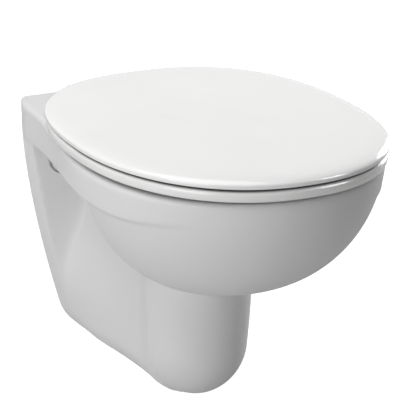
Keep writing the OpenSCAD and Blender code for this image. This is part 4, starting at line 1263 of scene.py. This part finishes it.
FORWARD, UP, ACROSS = (0, -1, 0), (0, 0, 1), (1, 0, 0)
AT_STUDS = [(x, 0, 0) for x in (-STUD_X, STUD_X)]
AT_HINGES = [(x, -HINGE_Y, 0) for x in (-HINGE_X, HINGE_X)]
SHANK_BORE, STUD_BORE = 5.1, 4.05
PIN_L = 2 * EAR_W + LUG_W + 2 * SIDE_GAP
PIN_ENDS = {"right": (SEAT_EAR_X, -HINGE_AXIS_Y, HINGE_AXIS_Z),
            "left": (-SEAT_EAR_X - PIN_L, -HINGE_AXIS_Y, HINGE_AXIS_Z)}
RIB_TOP, RIB_FOOT, RIB_PITCH = 27.4, 26.4, 7
ribs = [(4 + i + RIB_PITCH * k, r) for k in range(5)
        for i, r in enumerate((RIB_TOP, RIB_FOOT, RIB_TOP))]
TURNED = [
    ("wall_sleeves", CAP_PP, "white_plastic", AT_STUDS, FORWARD,
     [(0, SHANK_BORE), (0, 7.1), (29, 7.1), (29, 14), (30.5, 14), (30.5, SHANK_BORE)], 0.4),
    ("wall_washers", ZINC, "zinc_steel", AT_STUDS, FORWARD,
     [(30.5, SHANK_BORE), (30.5, 15), (33, 15), (33, SHANK_BORE)], 0.5),
    ("wall_caps", CAP_PP, "white_plastic", AT_STUDS, FORWARD,
     [(33, 10.0), (33, 14), (54, 14), (54, 0), (51.5, 0), (51.5, 10.0)],
     [0.4, 0.4, 4.5, 0, 0, 1.5]),
    ("cone_washers", RUBBER, "black_rubber", AT_HINGES, UP,
     [(23.5, STUD_BORE), (23.5, 12), (30.5, 9), (30.5, 6.9), (36.5, 6.9), (36.5, STUD_BORE)], 0.5),
    ("flat_washers", ZINC, "zinc_steel", AT_HINGES, UP,
     [(22, STUD_BORE), (22, 11), (23.5, 11), (23.5, STUD_BORE)], 0.4),
    ("inlet_seal", RUBBER, "black_rubber", [(0, 0, INLET_Z)], FORWARD,
     [(0, 22.5), (0, RIB_TOP)] + ribs + [(38, RIB_TOP), (38, 22.5)], 0.4),
]
for hand, start in PIN_ENDS.items():
    TURNED.append(("hinge_pin_" + hand, STAINLESS, "stainless_pin", [start], ACROSS,
                   [(0, 0), (0, PIN_D / 2), (PIN_L, PIN_D / 2), (PIN_L, 0)], [0, 0.6, 0.6, 0]))
for node, material, slot, centres, axis, corners, radii in TURNED:
    obj = lathe(node + "_turned", rounded_outline(corners, radii, 3), centres, axis)
    finished(obj, node, material)

# %% [markdown]
# ### Nuts
# A hexagon nut is a hexagon inside a turned blank, which rounds its corners. A wing nut
# is a round hub with a plate through it for the two wings, tightened by hand.

# %% Make the nuts
NUT_Y, NUT_T, NUT_R, NUT_ROUND = 33.0, 10.0, 9.815, 9.3
nuts, wings = [], []
for x in (-STUD_X, STUD_X):
    ends = (x, -NUT_Y, 0), (x, -NUT_Y - NUT_T, 0)
    nut = mesh_object("nut", *rod(*ends, NUT_R, 6))
    boolean(nut, [rod(*ends, NUT_ROUND, 96)], "INTERSECT")
    boolean(nut, [rod((x, -20, 0), (x, -60, 0), SHANK_BORE)])
    nuts.append((nut, [Matrix()]))
finished(gathered("hexagon_nuts", nuts), "wall_nuts", ZINC, 30)

WING_Z, WING_H, WING_HALF, WING_T, WING_R, HUB_R, HUB_IN = 13.0, 9.0, 16.0, 4.0, 1.4, 7.5, 7
one_wing = [(HUB_IN, 5.5), (WING_HALF - 1, 8), (WING_HALF, 1.5), (HUB_IN, 0.2)]
both_wings = [(-y, z) for y, z in reversed(one_wing[:3])] + one_wing + [(-HUB_IN, 0.2)]
tips = [(y - HINGE_Y, z + WING_Z) for y, z in both_wings]
for x in (-HINGE_X, HINGE_X):
    hub = mesh_object("hub", *rod((x, -HINGE_Y, WING_Z), (x, -HINGE_Y, WING_Z + WING_H), HUB_R))
    boolean(hub, [plate(x - WING_T / 2, WING_T, rounded_outline(tips, WING_R))], "UNION")
    boolean(hub, [rod((x, -HINGE_Y, WING_Z - 2), (x, -HINGE_Y, WING_Z + WING_H + 2), STUD_BORE)])
    wings.append((hub, [Matrix()]))
finished(gathered("winged_nuts", wings), "wing_nuts", CAP_PP, 30)

# %% [markdown]
# ### Hinge posts
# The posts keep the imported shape, with every edge broken by 0.6 mm as a mould leaves it.
# Their flat faces are joined first, so that the bevel follows only the real edges.

# %% Break the edges of the posts
POST_EDGE = 0.6
for node in ("hinge_post_left", "hinge_post_right"):
    post = placed(node + "_moulded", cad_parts[node].data.copy())
    with opened(post) as bm:
        bmesh.ops.remove_doubles(bm, verts=bm.verts, dist=1e-6)
        bmesh.ops.dissolve_limit(bm, angle_limit=math.radians(1), verts=bm.verts, edges=bm.edges)
    step = post.modifiers.new("step", "BEVEL")
    step.width, step.segments = POST_EDGE * MM, 2
    step.limit_method, step.angle_limit = "ANGLE", math.radians(40)
    finished(settled(post), node, HINGE_ABS, 30)

# %% [markdown]
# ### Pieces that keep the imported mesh
# The trapway, the gaskets, the bushes and the buffers are exact as they are. They only
# take their finish.

# %% Finish the rest
FINISH = {"trapway": TRAP_GLAZE, "hinge_gaskets": GASKET_TPE, "seat_bushes": NYLON,
          "seat_buffers": GASKET_TPE, "lid_bushes": NYLON, "lid_buffers": GASKET_TPE}
for node, finish in FINISH.items():
    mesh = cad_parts[node].data
    mesh.materials.clear()
    mesh.materials.append(finish)
print("finished", len(FINISH), "nodes")

# %% [markdown]
# ## Light and background
# The photograph has an even white surround with no visible shadow. The light is soft and
# comes from above and the left, so the lid is brightest and the right of the bowl is
# darkest, with a paler rim of light from behind. Lamps are large panels, because a white
# gloss surface shows small ones as hard spots. The last one is a gloss card: it shows in
# reflections alone, as the highlight down the bowl, and adds no light to the matt part
# of a surface.

# %% Lamps
LIT_POINT = Vector((0, -0.27, 0.0))
LAMPS = [
    ("overhead", (-95, 74), 2.2, (2.2, 2.2), 33),
    ("left_side", (-68, 4), 2.4, (1.4, 1.8), 29),
    ("right_back", (118, 6), 2.4, (0.9, 1.8), 42),
    ("gloss_card", (43, 22), 2.4, (1.0, 1.6), 44),
]
for name, angles, distance, size, watts in LAMPS:
    data = bpy.data.lights.new(name, "AREA")
    data.shape, data.size, data.size_y, data.energy = "RECTANGLE", *size, watts
    lamp = placed(name, data)
    towards = view_direction(*angles)
    lamp.location = LIT_POINT + towards * distance
    lamp.visible_diffuse = name != "gloss_card"
    aim(lamp, towards)
print("lamps:", len(LAMPS))

# %% [markdown]
# ### Surround and floor
# The surround is white for the camera, and in reflections, at a strength of 1. As a light
# it is much weaker, so that it fills the shadows and doesn't flatten the form. The floor
# takes the object's shadow as any floor does, and the camera sees it lifted to white.

# %% Surround
AMBIENT = 0.22
world = bpy.data.worlds.new("white_surround")
world.use_nodes = True
bpy.context.scene.world = world
tree = world.node_tree
tree.nodes.clear()
path = add_node(tree, "ShaderNodeLightPath")
seen = path.outputs["Is Camera Ray"]
for kind in ("Is Glossy Ray", "Is Transmission Ray"):
    terms = {0: seen, 1: path.outputs[kind]}
    seen = add_node(tree, "ShaderNodeMath", terms, operation="MAXIMUM").outputs[0]
level = add_node(tree, "ShaderNodeMapRange", {"Value": seen, "To Min": AMBIENT, "To Max": 1.0})
sky = add_node(tree, "ShaderNodeBackground", {"Color": (1, 1, 1, 1), "Strength": level.outputs[0]})
add_node(tree, "ShaderNodeOutputWorld", {"Surface": sky.outputs[0]})
print("surround lights at", AMBIENT)

# %% Floor
FLOOR_Z, HALF_FLOOR, FLOOR_LIFT = -320.0, 6000.0, 0.86
finish = new_finish("matt_white_floor", 0.9, ior=1.45, patterns=[
    ("colour", BLOTCHES, 400, 2.0, ("#B8B8B8", "#BEBEBE"))])
tree = finish.node_tree
shader = tree.nodes["Principled BSDF"]
seen = add_node(tree, "ShaderNodeLightPath").outputs["Is Camera Ray"]
lift = add_node(tree, "ShaderNodeMath", {0: seen, 1: FLOOR_LIFT}, operation="MULTIPLY").outputs[0]
shader.inputs["Emission Color"].default_value = (1, 1, 1, 1)
tree.links.new(lift, shader.inputs["Emission Strength"])
corners = [(x * HALF_FLOOR, y * HALF_FLOOR, FLOOR_Z) for x, y in ((-1, -1), (1, -1), (1, 1), (-1, 1))]
floor = mesh_object("floor", corners, [(0, 1, 2, 3)])
floor.data.materials.append(finish)
bpy.context.scene.view_settings.view_transform = "Standard"
print("floor", -FLOOR_Z, "mm below the wall fixings")
